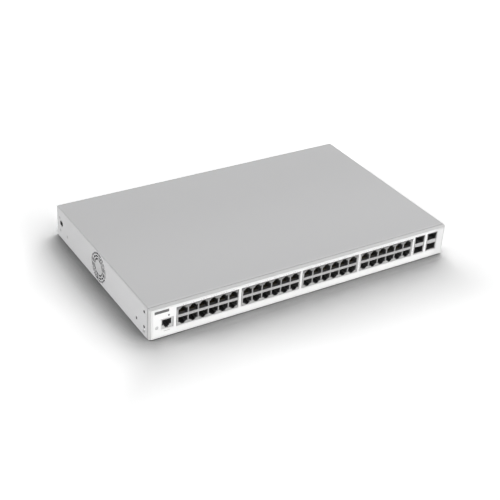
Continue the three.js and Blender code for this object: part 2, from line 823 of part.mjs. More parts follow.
function consoleInsert() {
  const inset = shieldSheet + fitGap;
  const near = front + consoleRecess + inset;
  return cut(
    block(-consoleWidth / 2 + inset, consoleWidth / 2 - inset, near, near + consoleDepth - 2 * inset,
      seat + inset, seat + consoleHeight - inset),
    consoleCutter(near - cutOverrun, near + consoleCavity),
  );
}

// Optical cage: a folded box with two openings and a chamber for the sockets at its back
function sfpCage() {
  const near = front + sfpRecess;
  const far = near + sfpDepth;
  const chamber = far - sfpWall - sfpSocketDepth;
  const side = sfpWidth / 2;
  const lower = seat + sfpFoot;
  const upper = lower + sfpHeight + sfpMiddle;
  return cut(
    block(-cageWidth / 2, cageWidth / 2, near, far, seat, seat + cageHeight),
    block(-side, side, near - cutOverrun, far - sfpWall, lower, lower + sfpHeight),
    block(-side, side, near - cutOverrun, far - sfpWall, upper, upper + sfpHeight),
    block(-side, side, near + sfpWall, far - sfpWall, lower + sfpHeight + sfpWall, upper - sfpWall),
    block(-side, side, chamber, far - sfpWall, lower, upper + sfpHeight),
  );
}

function sfpConnector() {
  const far = front + sfpRecess + sfpDepth - sfpWall - fitGap;
  const near = far - sfpSocketDepth + 2 * fitGap;
  const low = seat + sfpFoot + fitGap;
  const lower = seat + sfpFoot + sfpHeight / 2;
  const upper = lower + sfpHeight + sfpMiddle;
  const slot = (z) =>
    block(-sfpSlotWidth / 2, sfpSlotWidth / 2, near - cutOverrun, near + sfpSocketDepth / 2,
      z - sfpSlotHeight / 2, z + sfpSlotHeight / 2);
  return cut(
    block(-sfpSocketWidth / 2, sfpSocketWidth / 2, near, far, low,
      seat + cageHeight - sfpWall - fitGap),
    slot(lower),
    slot(upper),
  );
}

// Mode button and the switch that it presses
function modeButton() {
  const tip = front + buttonRecess;
  const collar = faceBack + fitGap;
  return join(
    rod("y", buttonRadius, tip, collar + buttonCollarDepth / 2, buttonX, buttonZ, 16),
    rod("y", buttonCollar, collar, collar + buttonCollarDepth, buttonX, buttonZ, 12),
    rod("y", buttonStem, collar + buttonCollarDepth / 2, tip + buttonLength, buttonX, buttonZ, 8),
  );
}

function modeSwitch() {
  const plunger = front + buttonRecess + buttonLength + buttonTravel + fitGap / 2;
  const near = plunger + plungerLength;
  return join(
    block(buttonX - switchWidth / 2, buttonX + switchWidth / 2, near, near + switchDepth, seat,
      seat + switchHeight),
    rod("y", plungerRadius, plunger, near + plungerLength, buttonX, buttonZ),
  );
}

// Main board: stepped round the fan and the power supply
function mainBoard() {
  const shape = outline([
    [boardLeft, boardFront],
    [boardRight, boardFront],
    [boardRight, boardStepY],
    [boardStepX, boardStepY],
    [boardStepX, boardRear],
    [fanBoardEdge, boardRear],
    [fanBoardEdge, boardNotchFront],
    [boardLeft, boardNotchFront],
  ]);
  return prism(shape, "z", boardBottom, boardTop);
}

// A block of fins on a base, fins along Y
function heatsink(width, depth, base, height, fins, fin) {
  const pitch = (width - fin) / (fins - 1);
  const row = Array.from({ length: fins }, (_, i) => {
    const x = -width / 2 + i * pitch;
    return block(x, x + fin, -depth / 2, depth / 2, base / 2, height);
  });
  return join(block(-width / 2, width / 2, -depth / 2, depth / 2, 0, base), ...row);
}

// Fan frame: a square with a round bore, and the motor held by four struts. The axis is X.
function fanFrame() {
  const reach = fanSize / 2;
  const shape = outline([[-reach, -reach], [reach, -reach], [reach, reach], [-reach, reach]]);
  const bore = new THREE.Path();
  bore.absarc(0, 0, fanBore, 0, 2 * Math.PI);
  shape.holes.push(bore);
  const diagonal = (fanBore + reach) / 2;
  const struts = [
    block(0, fanBaseDepth, -diagonal, diagonal, -fanStrut / 2, fanStrut / 2),
    block(0, fanBaseDepth, -fanStrut / 2, fanStrut / 2, -diagonal, diagonal),
  ];
  const bearingEnd = hubDepth - hubWall;
  const motor = join(
    rod("x", fanBaseRadius, 0, fanBaseDepth, 0, 0, 16),
    rod("x", statorRadius, fanBaseDepth / 2, fanBaseDepth + statorDepth, 0, 0, 12),
    rod("x", bearingRadius, fanBaseDepth / 2, bearingEnd, 0, 0, 12),
  );
  const screwHoles = [1, -1].map((way) =>
    rod("x", screwShank + screwHoleGap, -cutOverrun, screwLength, (way * fanScrewPitch) / 2,
      (way * fanScrewPitch) / 2, 8));
  return cut(
    join(prism(shape, "x", 0, fanThickness, 12), ...struts, motor),
    rod("x", shaftRadius + fitGap, fanBaseDepth, bearingEnd + cutOverrun, 0, 0, 12),
    ...screwHoles,
  );
}

// Fan rotor: a cup with its shaft, and blades that twist from the hub to the tip
function fanRotor() {
  const open = fanBaseDepth + fitGap;
  const closed = open + hubDepth;
  const cup = new THREE.LatheGeometry([
    [0, open + bearingRadius],
    [shaftRadius, open + bearingRadius],
    [shaftRadius, closed - hubWall],
    [hubRadius - hubWall, closed - hubWall],
    [hubRadius - hubWall, open],
    [hubRadius, open],
    [hubRadius, closed - hubWall],
    [hubRadius - hubWall, closed],
    [0, closed],
  ].map(([radius, along]) => new THREE.Vector2(radius, along)), 16);
  const hub = solid(cup.rotateZ(-Math.PI / 2));
  const tip = fanBore - bladeTipGap;
  const root = hubRadius - hubWall / 2;
  const bladeMiddle = (open + closed - hubWall) / 2;
  const blades = Array.from({ length: bladeCount }, (_, i) => {
    const blade = new THREE.BoxGeometry(bladeChord, bladeSheet, tip - root, 2, 1, 2);
    const places = blade.getAttribute("position");
    for (let k = 0; k < places.count; k += 1) {
      const along = places.getX(k);
      const share = places.getZ(k) / (tip - root) + 1 / 2;
      const angle = bladeAngle - share * bladeTwist;
      const thick = places.getY(k) + (1 - ((2 * along) / bladeChord) ** 2) * bladeSheet;
      const across = along * Math.sin(angle) + thick * Math.cos(angle);
      const radius = root + share * (tip - root);
      places.setXYZ(k, bladeMiddle + along * Math.cos(angle) - thick * Math.sin(angle), across,
        Math.sqrt(radius ** 2 - across ** 2));
    }
    return solid(blade.rotateX((i * 2 * Math.PI) / bladeCount));
  });
  return join(hub, ...blades);
}

// A flat-head screw whose head lies in the sheet; it points along +X
function flatScrew() {
  return join(
    taper("x", screwHead, screwShank, 0, screwHeadDepth, 0, 0, 10),
    rod("x", screwShank, screwHeadDepth / 2, screwLength, 0, 0, 10),
  );
}

// A pan-head screw, pointing along -Y from the rear wall
function panScrew(length) {
  return join(
    rod("y", panHead, fitGap, panHeadDepth, 0, 0, 10),
    rod("y", screwShank, -length, panHeadDepth / 2, 0, 0, 8),
  );
}

// Power inlet: flange inside the rear wall, shroud through it, three flat pins and their tabs
function powerInlet() {
  const flangeBack = rearInner - fitGap;
  const inner = rearFace - inletDepth;
  const shroud = prism(inletOutline(0), "y", inner, rearFace);
  const flange = block(inletX - inletFlangeWidth / 2, inletX + inletFlangeWidth / 2,
    flangeBack - inletFlange, flangeBack, inletZ - inletFlangeHeight / 2, inletZ + inletFlangeHeight / 2);
  const floor = rearFace - inletCavity;
  const pins = pinPlaces.map(([x, z]) =>
    block(x - pinThickness / 2, x + pinThickness / 2, floor - pinThickness, floor + pinLength,
      z - pinHeight / 2, z + pinHeight / 2));
  const tabs = pinPlaces.map(([x, z]) =>
    block(x - tabThickness / 2, x + tabThickness / 2, inner - tabLength, inner + tabThickness,
      z - tabHeight / 2, z + tabHeight / 2));
  const screwHoles = inletScrewXs.map((x) =>
    rod("y", screwShank + screwHoleGap, flangeBack - inletFlange - cutOverrun, flangeBack + cutOverrun,
      x, inletZ, 8));
  const mouth = prism(inletOutline(inletWall), "y", floor, rearFace + cutOverrun);
  return join(cut(join(shroud, flange), mouth, ...screwHoles), ...pins, ...tabs);
}

const pinPlaces = [
  [inletX - pinSpacing, inletZ - pinOffset],
  [inletX + pinSpacing, inletZ - pinOffset],
  [inletX, inletZ + pinOffset],
];

// Transformer: a wound bobbin between two flanges, with the core's two legs round it
function transformer() {
  const legs = [-1, 1].map((way) => {
    const outside = (way * transformerWidth) / 2;
    const inside = outside - (way * transformerCore) / 2;
    return block(Math.min(outside, inside), Math.max(outside, inside), -transformerCore / 2,
      transformerCore / 2, 0, transformerHeight);
  });
  const yokes = [0, transformerHeight - transformerCore / 2].map((z) =>
    block(-transformerWidth / 2, transformerWidth / 2, -transformerCore / 2, transformerCore / 2,
      z, z + transformerCore / 2));
  const wound = block(-transformerWidth / 2 + transformerCore / 2, transformerWidth / 2 - transformerCore / 2,
    -transformerDepth / 2, transformerDepth / 2, transformerCore / 2 + transformerFlange,
    transformerHeight - transformerCore / 2 - transformerFlange);
  const flanges = [0, transformerHeight - transformerFlange].map((z) =>
    block(-transformerWidth / 3, transformerWidth / 3, -transformerDepth / 2, transformerDepth / 2,
      z, z + transformerFlange));
  return join(wound, ...legs, ...yokes, ...flanges);
}

function ring(outer, inner, height, sides) {
  const profile = [[inner, 0], [outer, 0], [outer, height], [inner, height], [inner, 0]];
  const lathe = new THREE.LatheGeometry(profile.map(([r, up]) => new THREE.Vector2(r, up)), sides);
  return solid(lathe.rotateX(Math.PI / 2));
}

// A round lead along hand-chosen points
function lead(points, radius, steps, sides = 8) {
  const path = new THREE.CatmullRomCurve3(points.map((p) => new THREE.Vector3(...p)));
  const section = new THREE.Shape();
  for (let i = 0; i < sides; i += 1) {
    const angle = (i * 2 * Math.PI) / sides;
    const [a, b] = [radius * Math.cos(angle), radius * Math.sin(angle)];
    if (i) section.lineTo(a, b);
    else section.moveTo(a, b);
  }
  section.closePath();
  return solid(new THREE.ExtrudeGeometry(section, { steps, extrudePath: path, bevelEnabled: false }));
}

addPiece(unit, "chassis_base", chassisBase(), zincSheet);
addPiece(unit, "top_cover", topCover(), coverPaint);
addPiece(unit, "front_plate", frontPlate(), zincSheet);
addPiece(unit, "front_bezel", frontBezel(), whitePlastic);
addPiece(unit, "front_overlay", frontOverlay(), overlayFilm);

const shield = portShield();
const insert = portInsert();
const pipes = lightPipe();
groupCentres.forEach((x, i) => {
  const group = subGroup(x, 0, 0);
  addPiece(group, `port_shield_${i + 1}`, shield, nickelShield);
  addPiece(group, `port_insert_${i + 1}`, insert, blackPlastic);
  addPiece(group, `light_pipe_${i + 1}`, pipes, clearPlastic);
});

const cage = sfpCage();
const socket = sfpConnector();
cageCentres.forEach((x, i) => {
  const group = subGroup(x, 0, 0);
  addPiece(group, `sfp_cage_${i + 1}`, cage, nickelShield);
  addPiece(group, `sfp_connector_${i + 1}`, socket, blackPlastic);
});

const consoleGroup = subGroup(consoleX, 0, 0);
addPiece(consoleGroup, "console_shield", consoleShield(), nickelShield);
addPiece(consoleGroup, "console_insert", consoleInsert(), blackPlastic);
addPiece(unit, "status_light_pipe", statusLightPipe(), clearPlastic);
addPiece(unit, "mode_button", modeButton(), greyPlastic);
addPiece(unit, "mode_switch", modeSwitch(), blackPlastic);

addPiece(unit, "main_board", mainBoard(), boardGreen);
const boardMiddleY = (portBack + boardRear) / 2;
const switchPlace = subGroup((fanBoardEdge + boardStepX) / 2, boardMiddleY, seat);
addPiece(switchPlace, "switch_chip",
  block(-chipSize / 2, chipSize / 2, -chipSize / 2, chipSize / 2, 0, chipHeight), chipBlack);
const sinkPlace = new THREE.Group();
sinkPlace.position.z = chipHeight + fitGap;
switchPlace.add(sinkPlace);
addPiece(sinkPlace, "switch_heatsink",
  heatsink(sinkSize, sinkSize, sinkBase, sinkHeight, sinkFins, sinkFin), bareAluminium);
for (let i = 0; i < phyCount; i += 1) {
  const x = groupCentres[i % groupCount];
  const place = subGroup(x, portBack + phyFromPorts + phySize / 2, seat);
  addPiece(place, `phy_chip_${i + 1}`,
    block(-phySize / 2, phySize / 2, -phySize / 2, phySize / 2, 0, phyHeight), chipBlack);
}
const processorPlace = subGroup(
  (switchPlace.position.x + sinkSize / 2 + boardStepX) / 2, boardMiddleY, seat);
addPiece(processorPlace, "processor_chip",
  block(-processorSize / 2, processorSize / 2, -processorSize / 2, processorSize / 2, 0, processorHeight),
  chipBlack);

const fanPlace = subGroup(fanOuterX, fanY, fanZ);
addPiece(fanPlace, "fan_frame", fanFrame(), blackPlastic);
addPiece(fanPlace, "fan_rotor", fanRotor(), blackPlastic);
const fanScrew = flatScrew();
fanScrewPlaces.forEach(([y, z], i) => {
  addPiece(subGroup(-caseHalf, y, z), `fan_screw_${i + 1}`, fanScrew, steelScrew);
});

const headerX = fanBoardEdge + headerWidth;
const headerY = fanY + fanSize / 2 + headerDepth;
addPiece(subGroup(headerX, headerY, seat), "fan_header",
  block(-headerWidth / 2, headerWidth / 2, -headerDepth / 2, headerDepth / 2, 0, headerHeight), whitePlastic);
const fanLeadStart = fanOuterX + fanThickness + fitGap;
const fanLeadY = fanY + fanSize / 2 - 2 * fanLeadRadius;
addPiece(unit, "fan_cable", lead([
  [fanLeadStart, fanLeadY, seat + headerHeight],
  [fanLeadStart + 2 * fanLeadRadius, fanLeadY, seat + headerHeight],
  [headerX, (fanLeadY + headerY) / 2, seat + headerHeight + 4 * fanLeadRadius],
  [headerX, headerY, seat + headerHeight + 3 * fanLeadRadius],
  [headerX, headerY, seat + headerHeight + fitGap],
], fanLeadRadius, 10, 6), blackLead);

const psuPlace = subGroup(psuLeft, psuFront, psuSeat);
addPiece(unit, "psu_board",
  block(psuLeft, psuRight, psuFront, psuBack, psuBottom, psuBottom + boardThickness), boardGreen);
const transformerPlace = new THREE.Group();
transformerPlace.position.set(psuWidth * transformerShares[0], psuDepth * transformerShares[1], 0);
psuPlace.add(transformerPlace);
addPiece(transformerPlace, "psu_transformer", transformer(), copperWound);
const capacitorPlace = new THREE.Group();
capacitorPlace.position.set(psuWidth * capacitorShares[0], psuDepth * capacitorShares[1], 0);
psuPlace.add(capacitorPlace);
addPiece(capacitorPlace, "psu_capacitor", rod("z", capacitorRadius, 0, capacitorHeight, 0, 0, 16),
  blueSleeve);
psuSinkShares.forEach((share, i) => {
  const place = new THREE.Group();
  place.position.set(psuWidth * transformerShares[0], psuDepth * share, 0);
  psuPlace.add(place);
  addPiece(place, `psu_heatsink_${i + 1}`,
    heatsink(psuSinkWidth, psuSinkBase + psuSinkFin, psuSinkBase, psuSinkHeight, psuSinkFins, psuSinkBase),
    bareAluminium);
});
const chokePlace = new THREE.Group();
chokePlace.position.set(psuWidth * chokeShares[0], psuDepth * chokeShares[1], 0);
psuPlace.add(chokePlace);
addPiece(chokePlace, "psu_choke", ring(chokeOuter, chokeInner, chokeHeight, 16), copperWound);

addPiece(unit, "power_inlet", powerInlet(), blackPlastic);
const panScrewShape = panScrew(screwLength);
inletScrewXs.forEach((x, i) => {
  addPiece(subGroup(x, rearFace, inletZ), `inlet_screw_${i + 1}`, panScrewShape, steelScrew);
});
addPiece(subGroup(groundX, rearFace, inletZ), "ground_screw", panScrewShape, steelScrew);
rearScrewXs.forEach((x, i) => {
  addPiece(subGroup(x, rearFace, rearScrewZ), `cover_screw_${i + 3}`, panScrewShape, steelScrew);
});
const leftScrew = subGroup(-half, sideScrewY, sideScrewRise);
addPiece(leftScrew, "cover_screw_1", flatScrew(), steelScrew);
const rightScrew = subGroup(half, sideScrewY, sideScrewRise);
rightScrew.rotation.z = Math.PI;
addPiece(rightScrew, "cover_screw_2", flatScrew(), steelScrew);

const inletInner = rearFace - inletDepth;
pinPlaces.slice(0, 2).forEach(([x, z], i) => {
  const tabEnd = inletInner - tabLength - fitGap;
  addPiece(unit, ["live_lead", "neutral_lead"][i], lead([
    [x, tabEnd, z],
    [x, tabEnd - 2 * mainsLeadRadius, z],
    [x, psuBack - 2 * mainsLeadRadius, (z + psuSeat) / 2],
    [x, psuBack - 4 * mainsLeadRadius, psuSeat + 2 * mainsLeadRadius],
    [x, psuBack - 4 * mainsLeadRadius, psuSeat],
  ], mainsLeadRadius, 8, 6), i ? blackLead : redLead);
});
const harnessY = (psuFront + psuBack) / 2;
addPiece(unit, "dc_harness", lead([
  [psuLeft + 3 * harnessRadius, harnessY, psuSeat],
  [psuLeft + 3 * harnessRadius, harnessY, psuSeat + 3 * harnessRadius],
  [(psuLeft + boardStepX) / 2, harnessY, seat + 4 * harnessRadius],
  [boardStepX - 3 * harnessRadius, harnessY, seat + 3 * harnessRadius],
  [boardStepX - 3 * harnessRadius, harnessY, seat],
], harnessRadius, 9, 6), redLead);

export default unit;
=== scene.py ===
"""Looks for the rackmount network switch: camera, light, finishes, and the detail round its solids.

Metres, in the solids' own frame: +X is to the right seen from the front, the front faces -Y, +Z is up.
"""
import json
import math

import bmesh
import bpy
from mathutils import Matrix, Vector


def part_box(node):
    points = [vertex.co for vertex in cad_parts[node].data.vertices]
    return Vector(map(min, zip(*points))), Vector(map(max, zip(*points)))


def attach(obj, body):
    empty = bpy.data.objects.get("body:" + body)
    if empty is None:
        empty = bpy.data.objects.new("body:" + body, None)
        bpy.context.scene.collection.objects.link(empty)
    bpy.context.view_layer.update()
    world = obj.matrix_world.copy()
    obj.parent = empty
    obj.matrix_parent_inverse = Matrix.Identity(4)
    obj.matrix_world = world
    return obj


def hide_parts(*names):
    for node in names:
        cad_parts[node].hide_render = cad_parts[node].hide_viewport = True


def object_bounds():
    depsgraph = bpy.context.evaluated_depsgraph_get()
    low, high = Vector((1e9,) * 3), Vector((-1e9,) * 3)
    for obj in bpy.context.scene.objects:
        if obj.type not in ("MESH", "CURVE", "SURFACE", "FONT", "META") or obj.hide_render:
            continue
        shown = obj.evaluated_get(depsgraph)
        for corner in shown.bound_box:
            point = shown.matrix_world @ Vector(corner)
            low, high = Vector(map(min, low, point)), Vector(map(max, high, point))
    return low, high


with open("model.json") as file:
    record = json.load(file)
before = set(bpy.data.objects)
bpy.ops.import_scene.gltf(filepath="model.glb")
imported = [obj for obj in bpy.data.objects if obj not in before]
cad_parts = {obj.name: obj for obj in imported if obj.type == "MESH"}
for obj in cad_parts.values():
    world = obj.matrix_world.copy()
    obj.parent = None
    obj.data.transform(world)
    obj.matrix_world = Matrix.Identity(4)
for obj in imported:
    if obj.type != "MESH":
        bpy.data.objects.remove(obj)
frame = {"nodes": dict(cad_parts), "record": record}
solid_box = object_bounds()

MM = 0.001
FIXED = "case"
LOW, HIGH = solid_box
FRONT = LOW.y
BEVEL_DEPTH = 3.1 * MM

# Camera
CAMERA_AZIMUTH = -33.31  # degrees; 0 looks along +Y
CAMERA_ELEVATION = 31.66
CAMERA_ROLL = 3.82
CAMERA_DISTANCE = 1.40964
CAMERA_TARGET = Vector((-0.02917, -0.04362, 0.022))
CAMERA_LENS = 77.7  # millimetres, on a sensor 36 mm wide
SENSOR_WIDTH = 36

# Light
AMBIENT = 0.08  # the world's light on the object; white is 1
KEY_DIRECTION = Vector((0.40, 0.56, 0.73))
KEY_DISTANCE = 6.0
KEY_SIZE = (6.0, 6.0)
KEY_POWER = 306
FILL_DISTANCE = 8.0
FILL_SIZE = (4.0, 1.2)
FRONT_FILL_DIRECTION = Vector((0.36, -0.92, 0.12))
FRONT_FILL_POWER = 500
SIDE_FILL_DIRECTION = Vector((-0.92, 0.36, 0.12))
SIDE_FILL_POWER = 505
FLOOR_SIZE = 12
FLOOR_DROP = 0.05 * MM
FLOOR_COLOUR = 0.93
FLOOR_SEEN = 1.55  # the floor's colour for camera rays, so that its lit part is white
FLOOR_FADE = (0.75, 0.9)  # the floor's shading fades to plain white from here, over this
FLOOR_GRAIN = 0.005
SIDE_SHADOW = [(0.11, 2.3)]  # each part of a painted contact shadow: its reach from the case, and its depth
FRONT_SHADOW = [(0.02, 0.8), (0.12, 0.4)]
FRONT_GLOOM = 0.2  # depth of the long soft tail of the front's painted shadow
GLOOM_FADE = (0.03, 0.12)  # where the tail starts to fade, and over what
GLOOM_NEAR = 0.02
GLOOM_END = (-0.03, 0.08)  # the tail ends here, from the case's right side, and over this
REAR_GAIN = 0.22  # the side's painted shadow is made lighter towards the rear
REAR_FADE = (0.02, 0.12)
REAR_SIDE = (-0.1, 0.08)
BEHIND_REAR = (-0.01, 0.02)  # behind the case, the front's painted shading holds too
BEHIND_SIDE = 0.03
CONTACT_CORNER = 0.03  # over this distance from the case's corner, the two painted shadows meet
CONTACT_LEAN = Vector((0.85, -0.20, 0.49))  # the side from which the floor's open sky is felt


class Socket:
    """An output in a node tree. Arithmetic on it adds Math nodes."""

    def __init__(self, shader, output):
        self.shader = shader
        self.output = output

    def math(self, operation, *values):
        return self.shader.node("ShaderNodeMath", {"operation": operation}, dict(enumerate(values)))

    def __add__(self, other):
        return self.math("ADD", self, other)

    def __sub__(self, other):
        return self.math("SUBTRACT", self, other)

    def __rsub__(self, other):
        return self.math("SUBTRACT", other, self)

    def __mul__(self, other):
        return self.math("MULTIPLY", self, other)

    def __gt__(self, other):
        return self.math("GREATER_THAN", self, other)

    def __lt__(self, other):
        return self.math("LESS_THAN", self, other)

    __radd__ = __add__
    __rmul__ = __mul__

    def root(self):
        return self.math("SQRT", self)

    def sine(self):
        return self.math("SINE", self)

    def below(self, edge, blur):
        """1 where the value is under the edge, falling to 0 over the blur."""
        settings = {"interpolation_type": "SMOOTHSTEP"}
        ends = {"Value": self, "From Min": edge, "From Max": edge + blur, "To Min": 1.0, "To Max": 0.0}
        return self.shader.node("ShaderNodeMapRange", settings, ends)


class Shader:
    """The node tree of a material or of the world."""

    def __init__(self, owner):
        owner.use_nodes = True
        self.tree = owner.node_tree
        self.tree.nodes.clear()

    def node(self, kind, settings=None, inputs=None, output=0):
        """Adds a node. Its settings are set first; its inputs are values or sockets."""
        made = self.tree.nodes.new(kind)
        for key, value in (settings or {}).items():
            setattr(made, key, value)
        for key, value in (inputs or {}).items():
            if isinstance(value, Socket):
                self.tree.links.new(value.output, made.inputs[key])
            else:
                made.inputs[key].default_value = value
        return Socket(self, made.outputs[output]) if made.outputs else None

    def mix(self, share, first, second):
        """A colour between two others."""
        return self.node("ShaderNodeMix", {"data_type": "RGBA"}, {0: share, 6: first, 7: second}, 2)

    def place(self):
        """The point on the object, in metres."""
        return self.node("ShaderNodeTexCoord", output="Object")

    def axes(self):
        """The point's x, y and z."""
        split = self.node("ShaderNodeSeparateXYZ", inputs={0: self.place()}).output.node
        return [Socket(self, output) for output in split.outputs]

    def noise(self, size, detail=2.0, roughness=0.5, stretch=(1, 1, 1)):
        """Cloudy noise from 0 to 1, whose patches are about the given size across, in metres."""
        scaled = self.node("ShaderNodeMapping", inputs={"Vector": self.place(), "Scale": stretch})
        inputs = {"Vector": scaled, "Scale": 1 / size, "Detail": detail, "Roughness": roughness}
        return self.node("ShaderNodeTexNoise", inputs=inputs)

    def cells(self, size, output="Color", feature="F1"):
        return self.node("ShaderNodeTexVoronoi", {"feature": feature},
                         {"Vector": self.place(), "Scale": 1 / size}, output)

    def bump(self, height, depth, normal=None):
        """A normal from a height of 0 to 1 that stands for the given depth in metres."""
        inputs = {"Height": height, "Distance": depth, "Strength": 1.0}
        if normal is not None:
            inputs["Normal"] = normal
        return self.node("ShaderNodeBump", inputs=inputs)

    def finish(self, colour, roughness, normal=None, metallic=0.0, **uniform):
        inputs = {"Base Color": colour, "Roughness": roughness, "Metallic": metallic}
        if normal is not None:
            inputs["Normal"] = normal
        for name, value in uniform.items():
            inputs[name.replace("_", " ").title().replace("Ior", "IOR")] = value
        principled = self.node("ShaderNodeBsdfPrincipled", inputs=inputs)
        self.node("ShaderNodeOutputMaterial", inputs={"Surface": principled})


def rgb(red, green=None, blue=None):
    """A colour, or a grey from one value."""
    return (red, red if green is None else green, red if blue is None else blue, 1.0)


def scaled(colour, factor):
    return tuple(min(1.0, channel * factor) for channel in colour[:3]) + (1.0,)


def material(name, build):
    made = bpy.data.materials.new(name)
    build(Shader(made))
    return made


def varied(shader, colour, spread, size, detail=3.0):
    """A colour that drifts a little lighter and darker over patches of the given size."""
    return shader.mix(shader.noise(size, detail), scaled(colour, 1 - spread), scaled(colour, 1 + spread))


def circle_mask(across, up, centre, radius, blur):
    """1 inside a circle in the plane of two coordinates."""
    return ((across - centre[0]) * (across - centre[0]) + (up - centre[1]) * (up - centre[1])).root() \
        .below(radius, blur)


def hole_mask(along, up):
    """More than 0 near the lock slot and the ear holes of the left side, where shade is painted into the
    holes.
    """
    places = [(LOCK_CENTRE, LOCK_RADIUS, LOCK_SHADE)]
    places += [(hole, EAR_RADIUS, EAR_SHADE) for hole in EAR_HOLES]
    mask = 0.0
    for centre, radius, share in places:
        mask = mask + circle_mask(along, up, centre, radius, HOLE_BLUR) * share
    return mask


# Finishes

PAINT = rgb(0.52, 0.52, 0.524)
BEZEL_WHITE = rgb(0.91, 0.91, 0.905)
BEVEL_SHADED_WHITE = rgb(0.70, 0.70, 0.697)
BEZEL_SHADED_GREY = rgb(0.50, 0.50, 0.50)
BEZEL_TOP_SHADED_GREY = rgb(0.66, 0.66, 0.66)
SHEET_WHITE = rgb(0.95, 0.95, 0.945)
ZINC = rgb(0.60, 0.61, 0.62)
TIN = rgb(0.60, 0.60, 0.595)
TIN_SHADED_INSIDE = rgb(0.24, 0.24, 0.24)
JACK_BLACK = rgb(0.18, 0.18, 0.182)

VENT_CENTRE = (4.9 * MM, 22 * MM)
VENT_DISC = 8.5 * MM
LOCK_CENTRE = (122.3 * MM, 23.5 * MM)
LOCK_RADIUS = 5 * MM
EAR_HOLES = [(-122.7 * MM, 34.5 * MM), (-122.7 * MM, 13 * MM), (-102.8 * MM, 13 * MM)]
EAR_RADIUS = 2.2 * MM
LOCK_SHADE = 1
EAR_SHADE = 0.1
HOLE_BLUR = 0.1 * MM
LOCK_RIM = 4.0 * MM
LOCK_RIM_SHARE = 0.8
COVER_DIMPLES = [(10.2 * MM, 11.5 * MM), (9 * MM, 30 * MM), (33.2 * MM, 12.8 * MM)]  # from the rear, height
DIMPLE_RADIUS = 1.0 * MM
DIMPLE_BLUR = 2.0 * MM
DIMPLE_DEPTH = 0.25 * MM
DISC_BLUR = 3 * MM
RIM_BLUR = 1.2 * MM
ON_FACE = 0.1 * MM  # a point this near to a face counts as on it
CUT_WALL = 1.3 * MM  # painted shade darkens the walls of the cover's holes down to here
TOP_LIGHT_GAIN = 0.19  # painted light: how much lighter the coat is made on the top than on the sides
FRONT_LIGHT_SPAN = (-80 * MM, 180 * MM)  # painted light: the paint is made a little lighter towards the front
BEND = 1.5 * MM  # the cover's bend, and the height over which painted shade darkens its side below it
BEND_SHADE = 4 * MM
COVER_FRONT = FRONT + 5.8 * MM
BROW = 2.2 * MM  # painted light: the cover's top is made lighter along its front edge
FLECK_TONE, FRONT_LIGHT_TONE, DIMPLE_SHADE_TONE, DISC_SHADE_TONE = 0.93, 1.07, 0.6, 0.9  # shares of the paint's colour; all but the fleck's stand for painted light and shade
BEND_SHADE_TONE, BROW_LIGHT_TONE, RIM_SHADE_TONE, CUT_SHADE_TONE = 0.95, 1.14, 0.3, 0.2
STANDOFF_MARKS = [(-211.4, -32.7), (-188.9, 93.1), (0, 1.1), (47.6, 93.1), (211.4, 1.1), (68.8, 22.3),
                  (205.6, 22.3), (68.8, 101.1), (205.6, 101.1)]  # of standoffs in the floor, mm
STANDOFF_HEAD = 3 * MM
STANDOFF_SEAM = 0.5 * MM
SEAM_BLUR = 0.2 * MM
SIDE_WALL = 2.6 * MM  # the case's side behind the cover's holes, which painted shade makes nearly black


def cover_paint(shader):
    """Silver-grey powder coat: orange peel, faint fleck, dimples near the rear; painted shade on the dimples,
    the vent's middle, below the bend, round the lock slot and on the walls in the holes; painted light on the
    top, towards the front and along the top's front edge.
    """
    fleck = shader.noise(0.45 * MM, 1.0)
    colour = varied(shader, PAINT, 0.015, 60 * MM, 2.0)
    across, along, up = shader.axes()
    left = across < LOW.x + 2 * ON_FACE
    top = up > HIGH.z - ON_FACE
    # painted shade: the dimples are darkened in their hollows
    dimples = 0.0
    for from_rear, height in COVER_DIMPLES:
        place = (HIGH.y - from_rear, height)
        dimples = dimples + circle_mask(along, up, place, DIMPLE_RADIUS, DIMPLE_BLUR)
    dimples = dimples * left
    # painted shade: the vent's pressed-in middle is darkened
    disc = left * circle_mask(along, up, VENT_CENTRE, VENT_DISC, DISC_BLUR)
    # painted shade: the side is darkened just below the top bend
    bend = (across < LOW.x + BEND) * (1 - up.below(HIGH.z - BEND_SHADE, BEND_SHADE))
    # painted light along the top's front edge
    brow = top * along.below(COVER_FRONT + BROW, BROW)
    # painted shade: a dark ring round the lock slot
    rim = left * circle_mask(along, up, LOCK_CENTRE, LOCK_RIM, RIM_BLUR) * LOCK_RIM_SHARE
    # painted shade: the walls in the lock slot and ear holes are darkened
    inside = (across > LOW.x + ON_FACE) * (across < LOW.x + CUT_WALL) * hole_mask(along, up)
    # the fleck is the coat's own; the other marks are painted light and shade
    for mask, tone in ((fleck * 0.35, FLECK_TONE), (along.below(*FRONT_LIGHT_SPAN), FRONT_LIGHT_TONE),
                       (dimples, DIMPLE_SHADE_TONE), (disc, DISC_SHADE_TONE), (bend, BEND_SHADE_TONE), (brow, BROW_LIGHT_TONE),
                       (rim, RIM_SHADE_TONE), (inside, CUT_SHADE_TONE)):
        colour = shader.mix(mask, colour, scaled(PAINT, tone))
    peel = shader.bump(shader.noise(0.9 * MM, 2.0), 0.012 * MM)
    normal = shader.bump(1 - dimples, DIMPLE_DEPTH, peel)
    # painted light: the top is made lighter than the sides
    lighter = 1 + TOP_LIGHT_GAIN * top
    colour = shader.node("ShaderNodeVectorMath", {"operation": "SCALE"}, {0: colour, "Scale": lighter})
    shader.finish(colour, 0.6 + 0.08 * (fleck - 0.5), normal, metallic=0.0, specular_ior_level=0.2)


